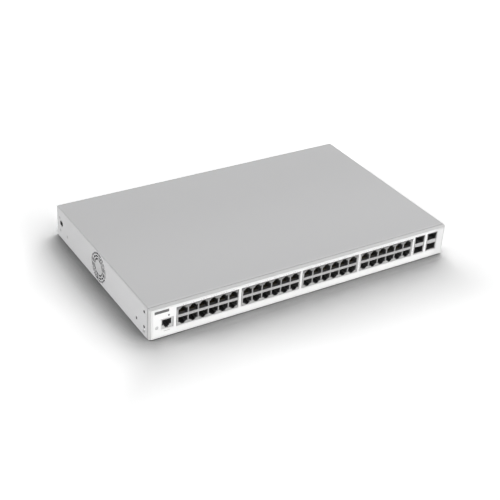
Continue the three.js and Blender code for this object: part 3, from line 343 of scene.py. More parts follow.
def zinc_sheet(shader):
    """Zinc-plated sheet with a soft spangle, rolling streaks, and the standoffs' round heads below."""
    spangle = shader.cells(6 * MM, "Color")
    tone = shader.node("ShaderNodeSeparateColor", inputs={0: spangle})
    streak = shader.noise(1.2 * MM, 3.0, 0.6, (0.06, 1, 1))
    colour = shader.mix(tone * 0.5 + streak * 0.3, scaled(ZINC, 0.94), scaled(ZINC, 1.08))
    across, along, up = shader.axes()
    seams = 0.0
    for x, y in STANDOFF_MARKS:
        head, core = (circle_mask(across, along, (x * MM, y * MM), radius, SEAM_BLUR)
                      for radius in (STANDOFF_HEAD, STANDOFF_HEAD - STANDOFF_SEAM))
        seams = seams + (head - core)
    seams = seams * (up < 2 * ON_FACE)
    colour = shader.mix(seams * 0.7, colour, scaled(ZINC, 0.3))
    # painted shade: the case's side behind the lock slot and ear holes is made almost black
    shaded = (across < LOW.x + SIDE_WALL) * hole_mask(along, up)
    colour = shader.mix(shaded * 0.85, colour, rgb(0.02))
    rough = 0.38 + 0.05 * tone + 0.08 * (streak - 0.5)
    normal = shader.bump(1 - seams, 0.1 * MM, shader.bump(streak, 0.006 * MM))
    shader.finish(colour, rough, normal, metallic=0.85)


RIGHT_END = (195 * MM, 18 * MM)  # from here, over this, painted shade makes the white of the face a little greyer
RIGHT_END_SHADE_GREY = rgb(0.79)
TOP_RIM = 1.5 * MM  # the height of the bezel's upper rim, whose painted shade is lighter than the sides'
TOP_RIM_BLUR = 0.5 * MM
BEVEL_BLUR = 0.15 * MM


def right_end_shade(shader, colour):
    """Painted shade: the white of the face is a little greyer at its right end."""
    across = shader.axes()[0]
    return shader.mix(across.below(*RIGHT_END), RIGHT_END_SHADE_GREY, colour)


def bezel_plastic(shader):
    """White moulding with a fine spark-eroded grain; painted shade makes the bevel a little darker and the
    rim behind it grey.
    """
    grain = shader.noise(0.22 * MM, 2.0, 0.7)
    cloud = shader.noise(40 * MM, 2.0)
    _, along, up = shader.axes()
    # painted shade: the bevel is a darker white than the face
    face, bevel = (shader.mix(cloud, scaled(white, 0.985), scaled(white, 1.01))
                   for white in (BEZEL_WHITE, BEVEL_SHADED_WHITE))
    # painted shade at the face's right end
    face = right_end_shade(shader, face)
    # painted shade: the rim behind the bevel is grey, lighter on the top than on the sides
    grey = shader.mix(up.below(HIGH.z - TOP_RIM, TOP_RIM_BLUR), BEZEL_TOP_SHADED_GREY, BEZEL_SHADED_GREY)
    colour = shader.mix(along.below(FRONT + ON_FACE, ON_FACE), bevel, face)
    colour = shader.mix(along.below(FRONT + BEVEL_DEPTH, BEVEL_BLUR), grey, colour)
    shader.finish(colour, 0.42 + 0.1 * (grain - 0.5), shader.bump(grain, 0.01 * MM), specular_ior_level=0.4)


def sheet_print(shader):
    """The printed film on the face: white, matt, almost smooth."""
    grain = shader.noise(0.12 * MM, 1.0)
    # painted shade at the film's right end
    colour = right_end_shade(shader, varied(shader, SHEET_WHITE, 0.008, 55 * MM))
    normal = shader.bump(grain, 0.003 * MM)
    shader.finish(colour, 0.46 + 0.06 * (grain - 0.5), normal, specular_ior_level=0.35)


DARK_FROM = 0.4 * MM  # behind the front face, painted shade darkens the metal of the ports from here
DARK_OVER = 0.6 * MM
SHADED_ABOVE = 32.5 * MM  # painted shade: the metal above this height is darkened, as if shaded by the window's upper edge
SHADED_OVER = 3 * MM
SHADED_TONE = 0.5
# painted light: the console's shield is made much paler than the other tin
CONSOLE_END = -192 * MM
CONSOLE_BLUR = 2 * MM
CONSOLE_LIT_TIN = rgb(0.92, 0.92, 0.915)


def tin_plate(shader):
    """Tin-plated sheet of the shields and cages: rolled grain, smudges that dull it; painted shade inside and
    under the windows' upper edges, painted light on the console's shield.
    """
    rolled = shader.noise(0.35 * MM, 3.0, 0.6, (1, 1, 0.08))
    smudge = shader.noise(7 * MM, 3.0, 0.6)
    across, along, up = shader.axes()
    colour = shader.mix(smudge, scaled(TIN, 0.92), scaled(TIN, 1.06))
    # painted shade under the windows' upper edges
    colour = shader.mix(up.below(SHADED_ABOVE, SHADED_OVER), scaled(TIN, SHADED_TONE), colour)
    # painted light on the console's shield
    colour = shader.mix(across.below(CONSOLE_END, CONSOLE_BLUR), colour, CONSOLE_LIT_TIN)
    # painted shade inside the ports and cages
    colour = shader.mix(along.below(FRONT + DARK_FROM, DARK_OVER), TIN_SHADED_INSIDE, colour)
    rough = 0.36 + 0.12 * smudge + 0.08 * (rolled - 0.5)
    shader.finish(colour, rough, shader.bump(rolled, 0.004 * MM), metallic=0.8)


def black_moulding(shader):
    """Glass-filled black plastic, faintly mottled."""
    grain = shader.noise(0.3 * MM, 3.0, 0.6)
    colour = shader.mix(grain, scaled(JACK_BLACK, 0.75), scaled(JACK_BLACK, 1.5))
    shader.finish(colour, 0.5 + 0.14 * (grain - 0.5), shader.bump(grain, 0.008 * MM), specular_ior_level=0.35)


def gold_plate(shader):
    streak = shader.noise(0.15 * MM, 2.0, 0.5, (1, 0.1, 1))
    # painted shade: the gold is made far darker than plated gold, as the contacts lie in shade deep in the
    # jacks and cages
    colour = shader.mix(streak, rgb(0.10, 0.075, 0.04), rgb(0.19, 0.15, 0.09))
    shader.finish(colour, 0.24 + 0.12 * streak, shader.bump(streak, 0.002 * MM), metallic=1.0)


def clear_moulding(shader):
    """Clear light pipe, a little milky inside."""
    haze = shader.noise(1.5 * MM, 2.0)
    colour = shader.mix(haze, rgb(0.60, 0.64, 0.66), rgb(0.74, 0.78, 0.80))
    shader.finish(colour, 0.12 + 0.1 * haze, shader.bump(haze, 0.004 * MM), coat_weight=0.4, ior=1.49)


def button_plastic(shader):
    grain = shader.noise(0.18 * MM, 2.0, 0.7)
    colour = varied(shader, rgb(0.68, 0.68, 0.69), 0.02, 1.5 * MM)
    shader.finish(colour, 0.44 + 0.1 * (grain - 0.5), shader.bump(grain, 0.008 * MM), specular_ior_level=0.45)


WEAVE = 4200  # radians of the laminate's weave in a metre


def board_laminate(shader):
    """Green solder mask: copper runs show through as lighter lines, with tinned pads between."""
    across, along, _ = shader.axes()
    runs = shader.cells(5 * MM, "Distance", "DISTANCE_TO_EDGE").below(0.05, 0.02)
    weave = (across * WEAVE).sine() * (along * WEAVE).sine()
    pads = shader.cells(2.4 * MM, "Distance").below(0.12, 0.03)
    colour = shader.mix(runs, rgb(0.012, 0.10, 0.045), rgb(0.03, 0.19, 0.085))
    colour = shader.mix(pads * 0.9, colour, rgb(0.62, 0.60, 0.55))
    normal = shader.bump(runs + pads + 0.1 * weave, 0.03 * MM)
    shader.finish(colour, 0.32 + 0.1 * shader.noise(3 * MM), normal, metallic=pads * 0.8, coat_weight=0.2)


def chip_package(shader):
    grain = shader.noise(0.2 * MM, 3.0, 0.7)
    colour = varied(shader, rgb(0.03, 0.03, 0.033), 0.2, 4 * MM)
    shader.finish(colour, 0.5 + 0.15 * (grain - 0.5), shader.bump(grain, 0.01 * MM), specular_ior_level=0.4)


def extruded_aluminium(shader):
    drawn = shader.noise(0.4 * MM, 3.0, 0.6, (1, 0.05, 1))
    colour = shader.mix(drawn, rgb(0.60, 0.61, 0.62), rgb(0.76, 0.77, 0.78))
    shader.finish(colour, 0.3 + 0.14 * drawn, shader.bump(drawn, 0.01 * MM), metallic=0.95)


def fan_plastic(shader):
    grain = shader.noise(0.35 * MM, 3.0, 0.6)
    colour = shader.mix(grain, rgb(0.16, 0.16, 0.165), rgb(0.22, 0.22, 0.225))
    shader.finish(colour, 0.46 + 0.12 * (grain - 0.5), shader.bump(grain, 0.01 * MM), specular_ior_level=0.45)


def pale_header(shader):
    grain = shader.noise(0.3 * MM, 2.0)
    colour = varied(shader, rgb(0.78, 0.75, 0.66), 0.03, 2 * MM)
    shader.finish(colour, 0.45 + 0.1 * (grain - 0.5), shader.bump(grain, 0.006 * MM))


def sleeve(colour):
    def build(shader):
        scuff = shader.noise(0.9 * MM, 3.0, 0.6)
        tone = shader.mix(scuff, scaled(colour, 0.8), scaled(colour, 1.2))
        shader.finish(tone, 0.42 + 0.14 * scuff, shader.bump(scuff, 0.02 * MM), specular_ior_level=0.4)
    return build


WIRE_TURN = 0.7 * MM


def wound_copper(shader):
    """Varnished turns, seen as fine ridges one above the other; painted shade darkens the grooves between
    them.
    """
    _, _, up = shader.axes()
    turns = (up * (2 * math.pi / WIRE_TURN)).sine() * 0.5 + 0.5
    colour = shader.mix(turns, rgb(0.22, 0.07, 0.022), rgb(0.66, 0.28, 0.10))
    shader.finish(colour, 0.3 + 0.1 * shader.noise(1 * MM), shader.bump(turns, 0.15 * MM), metallic=0.7)


def capacitor_sleeve(shader):
    scuff = shader.noise(1.5 * MM, 2.0)
    colour = shader.mix(scuff, rgb(0.012, 0.02, 0.06), rgb(0.02, 0.04, 0.11))
    shader.finish(colour, 0.2 + 0.1 * scuff, shader.bump(scuff, 0.01 * MM), coat_weight=0.3)


def screw_steel(shader):
    turned = shader.noise(0.25 * MM, 3.0, 0.6)
    colour = shader.mix(turned, rgb(0.50, 0.50, 0.49), rgb(0.68, 0.68, 0.67))
    shader.finish(colour, 0.26 + 0.14 * turned, shader.bump(turned, 0.006 * MM), metallic=0.95)


def print_ink(shade):
    def build(shader):
        speck = shader.noise(0.1 * MM, 2.0)
        tone = shader.mix(speck, scaled(rgb(shade), 0.9), scaled(rgb(shade), 1.1))
        shader.finish(tone, 0.4 + 0.1 * speck, shader.bump(speck, 0.002 * MM))
    return build


MATERIALS = {
    "case_zinc": material("zinc_sheet", zinc_sheet),
    "cover_paint": material("cover_paint", cover_paint),
    "bezel_plastic": material("bezel_plastic", bezel_plastic),
    "overlay_print": material("sheet_print", sheet_print),
    "shield_metal": material("tin_plate", tin_plate),
    "jack_plastic": material("black_moulding", black_moulding),
    "light_pipe_clear": material("clear_moulding", clear_moulding),
    "button_plastic": material("button_plastic", button_plastic),
    "board_laminate": material("board_laminate", board_laminate),
    "chip_package": material("chip_package", chip_package),
    "heatsink_aluminium": material("extruded_aluminium", extruded_aluminium),
    "fan_plastic": material("fan_plastic", fan_plastic),
    "header_plastic": material("pale_header", pale_header),
    "lead_sleeve_black": material("black_sleeve", sleeve(rgb(0.02))),
    "lead_sleeve_red": material("red_sleeve", sleeve(rgb(0.30, 0.03, 0.022))),
    "winding_copper": material("wound_copper", wound_copper),
    "capacitor_sleeve": material("capacitor_sleeve", capacitor_sleeve),
    "inlet_plastic": material("inlet_moulding", black_moulding),
    "screw_steel": material("screw_steel", screw_steel),
}
SHADED_GOLD = material("gold_plate", gold_plate)
DARK_PRINT = material("dark_print", print_ink(0.12))
GREY_PRINT = material("grey_print", print_ink(0.45))
BAR_PRINT = material("bar_print", print_ink(0.13))
PALE_PRINT = material("pale_print", print_ink(0.55))
LAMP_PRINT = material("lamp_print", print_ink(0.62))


# Camera, light and floor

def aimed(obj, back):
    """Turns an object so that its -Z looks against the given direction."""
    obj.rotation_mode = "QUATERNION"
    obj.rotation_quaternion = (-back).to_track_quat("-Z", "Y")


def add_camera():
    azimuth, elevation, roll = (math.radians(a) for a in (CAMERA_AZIMUTH, CAMERA_ELEVATION, CAMERA_ROLL))
    back = Vector((math.sin(azimuth) * math.cos(elevation), -math.cos(azimuth) * math.cos(elevation),
                   math.sin(elevation)))
    level = Vector((math.cos(azimuth), math.sin(azimuth), 0))
    upright = back.cross(level)
    right = level * math.cos(roll) + upright * math.sin(roll)
    up = upright * math.cos(roll) - level * math.sin(roll)
    turn = Matrix((right, up, back)).transposed().to_4x4()
    data = bpy.data.cameras.new("camera")
    data.sensor_width = SENSOR_WIDTH
    data.lens = CAMERA_LENS
    camera = bpy.data.objects.new("camera", data)
    camera.matrix_world = Matrix.Translation(CAMERA_TARGET + back * CAMERA_DISTANCE) @ turn
    bpy.context.scene.collection.objects.link(camera)
    bpy.context.scene.camera = camera


def add_lamp(name, direction, distance, size, power):
    data = bpy.data.lights.new(name, "AREA")
    data.shape = "RECTANGLE"
    data.size, data.size_y = size
    data.energy = power
    lamp = bpy.data.objects.new(name, data)
    back = direction.normalized()
    lamp.location = Vector((0, 0, HIGH.z / 2)) + back * distance
    aimed(lamp, back)
    bpy.context.scene.collection.objects.link(lamp)


def light_world():
    world = bpy.data.worlds.new("studio")
    bpy.context.scene.world = world
    shader = Shader(world)
    seen = shader.node("ShaderNodeLightPath", output="Is Camera Ray")
    mirrored = shader.node("ShaderNodeLightPath", output="Is Glossy Ray")
    passed = shader.node("ShaderNodeLightPath", output="Is Transmission Ray")
    white = seen.math("MAXIMUM", seen, mirrored.math("MAXIMUM", mirrored, passed))
    inputs = {"Color": rgb(1.0), "Strength": white * (1 - AMBIENT) + AMBIENT}
    background = shader.node("ShaderNodeBackground", inputs=inputs)
    shader.node("ShaderNodeOutputWorld", inputs={"Surface": background})


def contact_shade(shader, parts):
    """A painted contact shadow for the floor, from 0 to 1: how much of the open sky a point of the floor
    sees, raised to each part's depth.
    """
    shade = 1.0
    for reach, depth in parts:
        open_sky = shader.node("ShaderNodeAmbientOcclusion", {"samples": 8},
                               {"Distance": reach, "Normal": CONTACT_LEAN.normalized()}, "AO")
        shade = open_sky.math("POWER", open_sky, depth) * shade
    return shade


def floor_finish(shader):
    seen = shader.node("ShaderNodeLightPath", output="Is Camera Ray")
    grain = shader.noise(6 * MM, 2.0)
    plain = shader.mix(grain, rgb(FLOOR_COLOUR * (1 - FLOOR_GRAIN)), rgb(FLOOR_COLOUR))
    across, along, _ = shader.axes()
    beside = (across - LOW.x - along + LOW.y).below(-CONTACT_CORNER, 2 * CONTACT_CORNER)
    behind = (1 - (along - HIGH.y).below(*BEHIND_REAR)) * (1 - across.below(LOW.x, BEHIND_SIDE))
    beside = beside * (1 - behind)
    side = contact_shade(shader, SIDE_SHADOW)
    front = contact_shade(shader, FRONT_SHADOW)
    # painted shadow: the front's long soft tail, set by position
    gloom = (LOW.y - along).below(*GLOOM_FADE) * along.below(LOW.y, GLOOM_NEAR)
    gloom = gloom * (across - HIGH.x).below(*GLOOM_END)
    rear = (1 - along.below(*REAR_FADE)) * (across - LOW.x).below(*REAR_SIDE)
    side = side * (1 + REAR_GAIN * rear)
    front = front * (1 - FRONT_GLOOM * gloom)
    shade = (beside * side + (1 - beside) * front) * FLOOR_SEEN
    shown = shader.node("ShaderNodeCombineColor", inputs={0: shade, 1: shade, 2: shade})
    colour = shader.mix(seen, plain, shown)
    diffuse = shader.node("ShaderNodeBsdfDiffuse", inputs={"Color": colour})
    glow = shader.node("ShaderNodeEmission", inputs={"Color": rgb(1.0)})
    near = (across * across + along * along).root().below(*FLOOR_FADE)
    far = seen * (1 - near)
    surface = shader.node("ShaderNodeMixShader", inputs={0: far, 1: diffuse, 2: glow})
    shader.node("ShaderNodeOutputMaterial", inputs={"Surface": surface})


def add_floor():
    mesh = bpy.data.meshes.new("floor")
    reach = FLOOR_SIZE / 2
    corners = [(-reach, -reach), (reach, -reach), (reach, reach), (-reach, reach)]
    mesh.from_pydata([(x, y, LOW.z - FLOOR_DROP) for x, y in corners], [], [(0, 1, 2, 3)])
    mesh.materials.append(material("floor", floor_finish))
    floor = bpy.data.objects.new("floor", mesh)
    bpy.context.scene.collection.objects.link(floor)


bpy.context.scene.view_settings.view_transform = "Standard"
add_camera()
light_world()
add_lamp("key", KEY_DIRECTION, KEY_DISTANCE, KEY_SIZE, KEY_POWER)
add_lamp("front_fill", FRONT_FILL_DIRECTION, FILL_DISTANCE, FILL_SIZE, FRONT_FILL_POWER)
add_lamp("side_fill", SIDE_FILL_DIRECTION, FILL_DISTANCE, FILL_SIZE, SIDE_FILL_POWER)
add_floor()


# Pieces

FLAT_ANGLE = 35  # degrees; a sharper edge stays sharp in the shading
WELD = 0.001 * MM
LEVEL = 0.5  # degrees; faces nearer than this to one plane are joined


def middle_of(node):
    low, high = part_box(node)
    return (low + high) / 2


def slot_of(node):
    return next(row["material_slot"] for row in frame["record"]["subparts"] if row["node"] == node)


def add_piece(name, mesh, finish, body=FIXED, limit=FLAT_ANGLE):
    """Links a new piece, which moves with a body. Its round faces are shaded smooth."""
    mesh.materials.clear()
    mesh.materials.append(finish)
    mesh.polygons.foreach_set("use_smooth", [True] * len(mesh.polygons))
    mesh.set_sharp_from_angle(angle=math.radians(limit))
    piece = bpy.data.objects.new(name, mesh)
    bpy.context.scene.collection.objects.link(piece)
    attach(piece, body)
    return piece


def slotted(name, mesh, slot, body=FIXED, limit=FLAT_ANGLE):
    """A new piece in the finish of a slot."""
    return add_piece(name, mesh, MATERIALS[slot], body, limit)


def stand_in(node, mesh, body=FIXED, limit=FLAT_ANGLE):
    """A piece that takes a solid's place, in the finish of the solid's slot."""
    piece = slotted(node + "_form", mesh, slot_of(node), body, limit)
    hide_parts(node)
    return piece


def softened(node, width, limit=FLAT_ANGLE, segments=2):
    """The form of a solid with its sharp edges rounded and its round faces smooth."""
    mesh = frame["nodes"][node].data.copy()
    if "custom_normal" in mesh.attributes:
        mesh.attributes.remove(mesh.attributes["custom_normal"])
    piece = stand_in(node, mesh, limit=180)
    weld = piece.modifiers.new("weld", "WELD")
    weld.merge_threshold = WELD
    flat = piece.modifiers.new("flat", "DECIMATE")
    flat.decimate_type = "DISSOLVE"
    flat.angle_limit = math.radians(LEVEL)
    bevel = piece.modifiers.new("edges", "BEVEL")
    bevel.width = width
    bevel.segments = segments
    bevel.limit_method = "ANGLE"
    bevel.angle_limit = math.radians(limit)
    bevel.harden_normals = True
    bevel.use_clamp_overlap = True
    return piece


def as_mesh(form, name):
    """Turns a filled bmesh into a mesh."""
    mesh = bpy.data.meshes.new(name)
    form.to_mesh(mesh)
    form.free()
    return mesh


def finished(form, name):
    """The same for a closed form, whose faces are turned outwards."""
    bmesh.ops.recalc_face_normals(form, faces=form.faces)
    return as_mesh(form, name)


def skinned(form, rings):
    """Faces between rings of points, and one at each end."""
    for near, far in zip(rings, rings[1:]):
        for i in range(len(near)):
            j = (i + 1) % len(near)
            form.faces.new((near[i], near[j], far[j], far[i]))
    form.faces.new(rings[0])
    form.faces.new(rings[-1])


def box_corners(across, up):
    """The corners of a rectangle round 0, from its half sizes."""
    return [(a * across, b * up) for a, b in ((-1, -1), (1, -1), (1, 1), (-1, 1))]


def sweep(form, path, across, width, sheet):
    """A strip of rectangular section along a path; across is the direction of its width."""
    rings = []
    for i, point in enumerate(path):
        along = path[min(i + 1, len(path) - 1)] - path[max(i - 1, 0)]
        out = along.normalized().cross(across) * (sheet / 2)
        side = across * (width / 2)
        corners = [side + out, out - side, -side - out, side - out]
        rings.append([form.verts.new(point + corner) for corner in corners])
    skinned(form, rings)


def turned(form, profile, place, axis, sides=32):
    """A turned form. The profile holds (radius, distance along the axis) pairs from one end to the other."""
    turn = axis.to_track_quat("Z", "Y")
    rings = []
    for radius, along in profile:
        angles = [2 * math.pi * i / sides for i in range(sides)] if radius else [0.0]
        points = [Vector((radius * math.cos(a), radius * math.sin(a), along)) for a in angles]
        rings.append([form.verts.new(place + turn @ point) for point in points])
    for near, far in zip(rings, rings[1:]):
        for i in range(sides):
            j = (i + 1) % sides
            corners = [near[i % len(near)], near[j % len(near)], far[j % len(far)], far[i % len(far)]]
            kept = list(dict.fromkeys(corners))
            if len(kept) > 2:
                form.faces.new(kept)


def carved(mesh, cutter):
    """A mesh with another one cut out of it."""
    body = bpy.data.objects.new("body", mesh)
    tool = bpy.data.objects.new("tool", cutter)
    for obj in (body, tool):
        bpy.context.scene.collection.objects.link(obj)
    boolean = body.modifiers.new("cut", "BOOLEAN")
    boolean.object = tool
    boolean.solver = "EXACT"
    boolean.use_self = True  # the cross's two arms overlap
    graph = bpy.context.evaluated_depsgraph_get()
    made = bpy.data.meshes.new_from_object(body.evaluated_get(graph))
    for obj in (body, tool):
        bpy.data.objects.remove(obj)
    return made


X_AXIS = Vector((1, 0, 0))
Y_AXIS = Vector((0, 1, 0))
Z_AXIS = Vector((0, 0, 1))


# Copper ports

GROUPS = (1, 2, 3, 4)
JACK_COLUMNS = 6
ROWS = (1, -1)  # the upper row's openings narrow upwards, the lower row's downwards
JACK_PITCH = 13.8 * MM
JACK_ROW_GAP = 3.9 * MM
JACK_WIDTH = 12.1 * MM
JACK_BODY = 7.4 * MM
CONSOLE_ROOF = 1.0 * MM
CONTACTS = 8
CONTACT_PITCH = 1.02 * MM
CONTACT_WIDTH = 0.42 * MM
CONTACT_SHEET = 0.28 * MM
CONTACT_PATH = [(6.0, 0.25), (3.9, 0.25), (3.45, 0.45), (3.5, 0.75), (4.0, 1.0), (13.0, 4.2), (14.5, 4.5)]
LIP_WIDTH = 0.75 * MM
LIP_BELOW = 0.3 * MM  # the moulding also shows along the flat edge of the upper openings
LIP_RISE = 0.02 * MM
SPRING_WIDTH = 2.6 * MM
SPRING_SHEET = 0.18 * MM
SPRING_PATH = [(-0.35, 0.0), (0.3, 0.2), (1.5, 0.6), (3.0, 0.8), (4.4, 0.6), (5.0, 0.3)]


def column_offsets():
    return [(column - (JACK_COLUMNS - 1) / 2) * JACK_PITCH for column in range(JACK_COLUMNS)]


def group_jacks(group):
    """The middle of each opening's flat edge in one group, and the way that the opening narrows."""
    insert = f"port_insert_{group}"
    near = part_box(insert)[0].y
    middle = middle_of(insert)
    return [(Vector((middle.x + offset, near, middle.z + way * JACK_ROW_GAP / 2)), way)
            for offset in column_offsets() for way in ROWS]


def console_jack():
    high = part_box("console_shield")[1]
    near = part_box("console_insert")[0].y
    return [(Vector((middle_of("console_shield").x, near, high.z - CONSOLE_ROOF)), -1)]


def contact_wires(jacks, name):
    """Eight bent wires in each jack, hooked at the flat edge and sloping up towards the back."""
    form = bmesh.new()
    for flat, way in jacks:
        for i in range(CONTACTS):
            side = (i - (CONTACTS - 1) / 2) * CONTACT_PITCH
            path = [flat + Vector((side, depth * MM, way * height * MM)) for depth, height in CONTACT_PATH]
            sweep(form, path, X_AXIS, CONTACT_WIDTH, CONTACT_SHEET)
    return finished(form, name)


def side_springs(jacks, name):
    """A leaf spring on both sides of each jack, which touches the plug's shell."""
    form = bmesh.new()
    for flat, way in jacks:
        for side in (1, -1):
            path = [flat + Vector((side * (JACK_WIDTH / 2 - inset * MM), depth * MM, way * JACK_BODY / 2))
                    for depth, inset in SPRING_PATH]
            sweep(form, path, Z_AXIS, SPRING_WIDTH, SPRING_SHEET)
    return finished(form, name)


def jack_lips(jacks, near, name):
    """The edge of the moulding that shows beside each opening, flush with the shield."""
    form = bmesh.new()
    for i, (flat, way) in enumerate(jacks):
        low, high = sorted((flat.z, flat.z + way * JACK_BODY))
        left, right = flat.x + JACK_WIDTH / 2, flat.x + JACK_WIDTH / 2 + LIP_WIDTH
        patches = [(left, right, low, high)]
        # the first column also gets a half-wide dark strip on its left, which darkens the shield's margin
        # beside the group's rib
        if i < len(ROWS):
            patches.append((flat.x - JACK_WIDTH / 2 - LIP_WIDTH / 2, flat.x - JACK_WIDTH / 2, low, high))
        if way > 0:
            patches.append((flat.x - JACK_WIDTH / 2, right, low - LIP_BELOW, low))
        for x0, x1, z0, z1 in patches:
            corners = [(x0, z0), (x1, z0), (x1, z1), (x0, z1)]
            form.faces.new([form.verts.new((x, near - LIP_RISE, z)) for x, z in corners])
    return as_mesh(form, name)


for group in GROUPS:
    jacks = group_jacks(group)
    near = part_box(f"port_shield_{group}")[0].y
    slotted(f"port_lips_{group}", jack_lips(jacks, near, "lips"), "jack_plastic")
    add_piece(f"port_contacts_{group}", contact_wires(jacks, "contacts"), SHADED_GOLD)
    slotted(f"port_springs_{group}", side_springs(jacks, "springs"), "shield_metal")
add_piece("console_contacts", contact_wires(console_jack(), "contacts"), SHADED_GOLD)
slotted("console_springs", side_springs(console_jack(), "springs"), "shield_metal")


# Optical cages

CAGES = (1, 2)
CAGE_WALL = 0.5 * MM
CAGE_FOOT = 1.0 * MM
CAGE_OPENING = 9.7 * MM
FINGER_PITCH = 2.5 * MM
FINGER_WIDTH = 1.9 * MM
FINGER_SHEET = 0.12 * MM
FINGER_PATH = [(0.1, 0.08), (0.5, 0.25), (1.3, 0.52), (2.2, 0.58), (3.0, 0.38), (3.9, 0.12)]
LOW_FINGER = 0.5  # share of the height, above and below a cage
LATCH_WIDTH = 4.6 * MM
LATCH_SHEET = 0.25 * MM
LATCH_PATH = [(0.1, 0.13), (1.0, 0.25), (3.5, 0.95), (7.0, 1.35), (8.2, 1.1)]
LENS_SIDE = 2.3 * MM
LENS_CORNERS = [(-1 / 2, -1 / 3), (1 / 2, -1 / 3), (0, 1 / 2)]  # shares of the side
LENS_RINGS = [(0.05, 1), (-0.15, 1), (-0.25, 0.8)]  # depth in mm, and share of the size
LENS_OFFSETS = [-4.9 * MM, -2.1 * MM, 2.1 * MM, 4.9 * MM]
SOCKET_CONTACTS = 10
SOCKET_PITCH = 0.8 * MM
SOCKET_SLOT = 1.6 * MM
SOCKET_PATH = [(0.3, 0.12), (1.2, 0.12), (2.6, 0.42), (4.2, 0.2)]


def cage_fingers(group):
    """Sprung fingers round the cage, which touch the edge of the bezel's window."""
    low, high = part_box(f"sfp_cage_{group}")
    foot, roof = (low.x, low.y, low.z), (high.x, low.y, high.z)
    foot_right, roof_left = (high.x, low.y, low.z), (low.x, low.y, high.z)
    form = bmesh.new()
    for start, end, across, outwards, share in (
            (foot, roof_left, Z_AXIS, -X_AXIS, 1), (foot_right, roof, Z_AXIS, X_AXIS, 1),
            (foot, foot_right, X_AXIS, -Z_AXIS, LOW_FINGER), (roof_left, roof, X_AXIS, Z_AXIS, LOW_FINGER)):
        start, end = Vector(start), Vector(end)
        count = int((end - start).length / FINGER_PITCH)
        for i in range(count):
            root = start.lerp(end, (i + 0.5) / count)
            path = [root + Y_AXIS * depth * MM + outwards * rise * MM * share for depth, rise in FINGER_PATH]
            sweep(form, path, across, FINGER_WIDTH, FINGER_SHEET)
    return finished(form, "fingers")


def cage_latches(group):
    """The leaf that locks a module, on both sides of the strip between the openings."""
    low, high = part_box(f"sfp_cage_{group}")
    middle = (low.x + high.x) / 2
    form = bmesh.new()
    for edge, way in ((low.z + CAGE_FOOT + CAGE_OPENING, -1), (high.z - CAGE_WALL - CAGE_OPENING, 1)):
        root = Vector((middle, low.y, edge))
        path = [root + Vector((0, depth * MM, way * height * MM)) for depth, height in LATCH_PATH]
        sweep(form, path, X_AXIS, LATCH_WIDTH, LATCH_SHEET)
    return finished(form, "latches")


def cage_lenses(group):
    """Three-cornered lenses on the strip: they point at the opening whose state they show."""
    low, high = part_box(f"sfp_cage_{group}")
    strip = (low.z + CAGE_FOOT + high.z - CAGE_WALL) / 2
    form = bmesh.new()
    for i, offset in enumerate(LENS_OFFSETS):
        way = 1 if i % 2 == 0 else -1
        base = Vector(((low.x + high.x) / 2 + offset, low.y, strip))
        rings = []
        for depth, share in LENS_RINGS:
            size = LENS_SIDE * share
            rings.append([form.verts.new(base + Vector((x * size, depth * MM, way * z * size)))
                          for x, z in LENS_CORNERS])
        skinned(form, rings)
    return finished(form, "lenses")


def socket_contacts(group):
    """Gold strips above and below each slot of the socket at the back of the cage."""
    low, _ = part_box(f"sfp_connector_{group}")
    cage_low, cage_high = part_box(f"sfp_cage_{group}")
    form = bmesh.new()
    middle = (cage_low.x + cage_high.x) / 2
    for z in (cage_low.z + CAGE_FOOT + CAGE_OPENING / 2, cage_high.z - CAGE_WALL - CAGE_OPENING / 2):
        for way in (1, -1):
            for i in range(SOCKET_CONTACTS):
                x = middle + (i - (SOCKET_CONTACTS - 1) / 2) * SOCKET_PITCH
                path = [Vector((x, low.y + depth * MM, z + way * (SOCKET_SLOT / 2 - height * MM)))
                        for depth, height in SOCKET_PATH]
                sweep(form, path, X_AXIS, SOCKET_PITCH / 2, FINGER_SHEET)
    return finished(form, "socket_contacts")


for group in CAGES:
    slotted(f"cage_fingers_{group}", cage_fingers(group), "shield_metal")
    slotted(f"cage_latches_{group}", cage_latches(group), "shield_metal")
    slotted(f"cage_lenses_{group}", cage_lenses(group), "light_pipe_clear")
    add_piece(f"socket_contacts_{group}", socket_contacts(group), SHADED_GOLD)


# Print on the face: clear lamp windows, plain port numbers, and a plain bar where a name would be

SHEET_SETBACK = 0.03 * MM
INK_SETBACK = 0.01 * MM
NUMBER_HEIGHT = 1.25 * MM
NUMBER_OFFSET = 3.1 * MM  # from the lamp's window to the number at its side
LAMP_WINDOW = (1.3 * MM, 1.0 * MM)
LAMP_ROW = 39.5 * MM
STATUS_WINDOW = 2.1 * MM
NAME_BAR = (-206.5 * MM, 37.7 * MM, 19.0 * MM, 3.8 * MM)  # middle x and z, width, height
CONSOLE_LINE = (-199.7 * MM, 9.4 * MM, 8.2 * MM, 0.8 * MM)
SMALL_LAMP = (167.3 * MM, 37.2 * MM, 1.1 * MM, 1.1 * MM)
CAGE_NUMBERS = [(49, 168.2 * MM, 32.8 * MM), (50, 168.2 * MM, 17.8 * MM),
                (51, 189.0 * MM, 32.8 * MM), (52, 189.0 * MM, 17.8 * MM)]
DIGIT_SHARE = 0.7  # the height of the font's digits, as a share of its size
STATUS_PIPE = 1.8 * MM
WINDOW_MIDDLE = 24.5 * MM
WINDOW_HEIGHT = 26.4 * MM
SHEET_EDGES = [(-208.6 * MM, 19.7 * MM, 2.4 * MM, 14.0 * MM), (-200.0 * MM, 12.0 * MM, 19.6 * MM, 1.3 * MM)]
SHEET_EDGES += [(x * MM, WINDOW_MIDDLE, width * MM, WINDOW_HEIGHT)
                for x, width in ((-101.3, 1.4), (-12.1, 0.9), (80.4, 0.7))]  # strips over the windows' edges


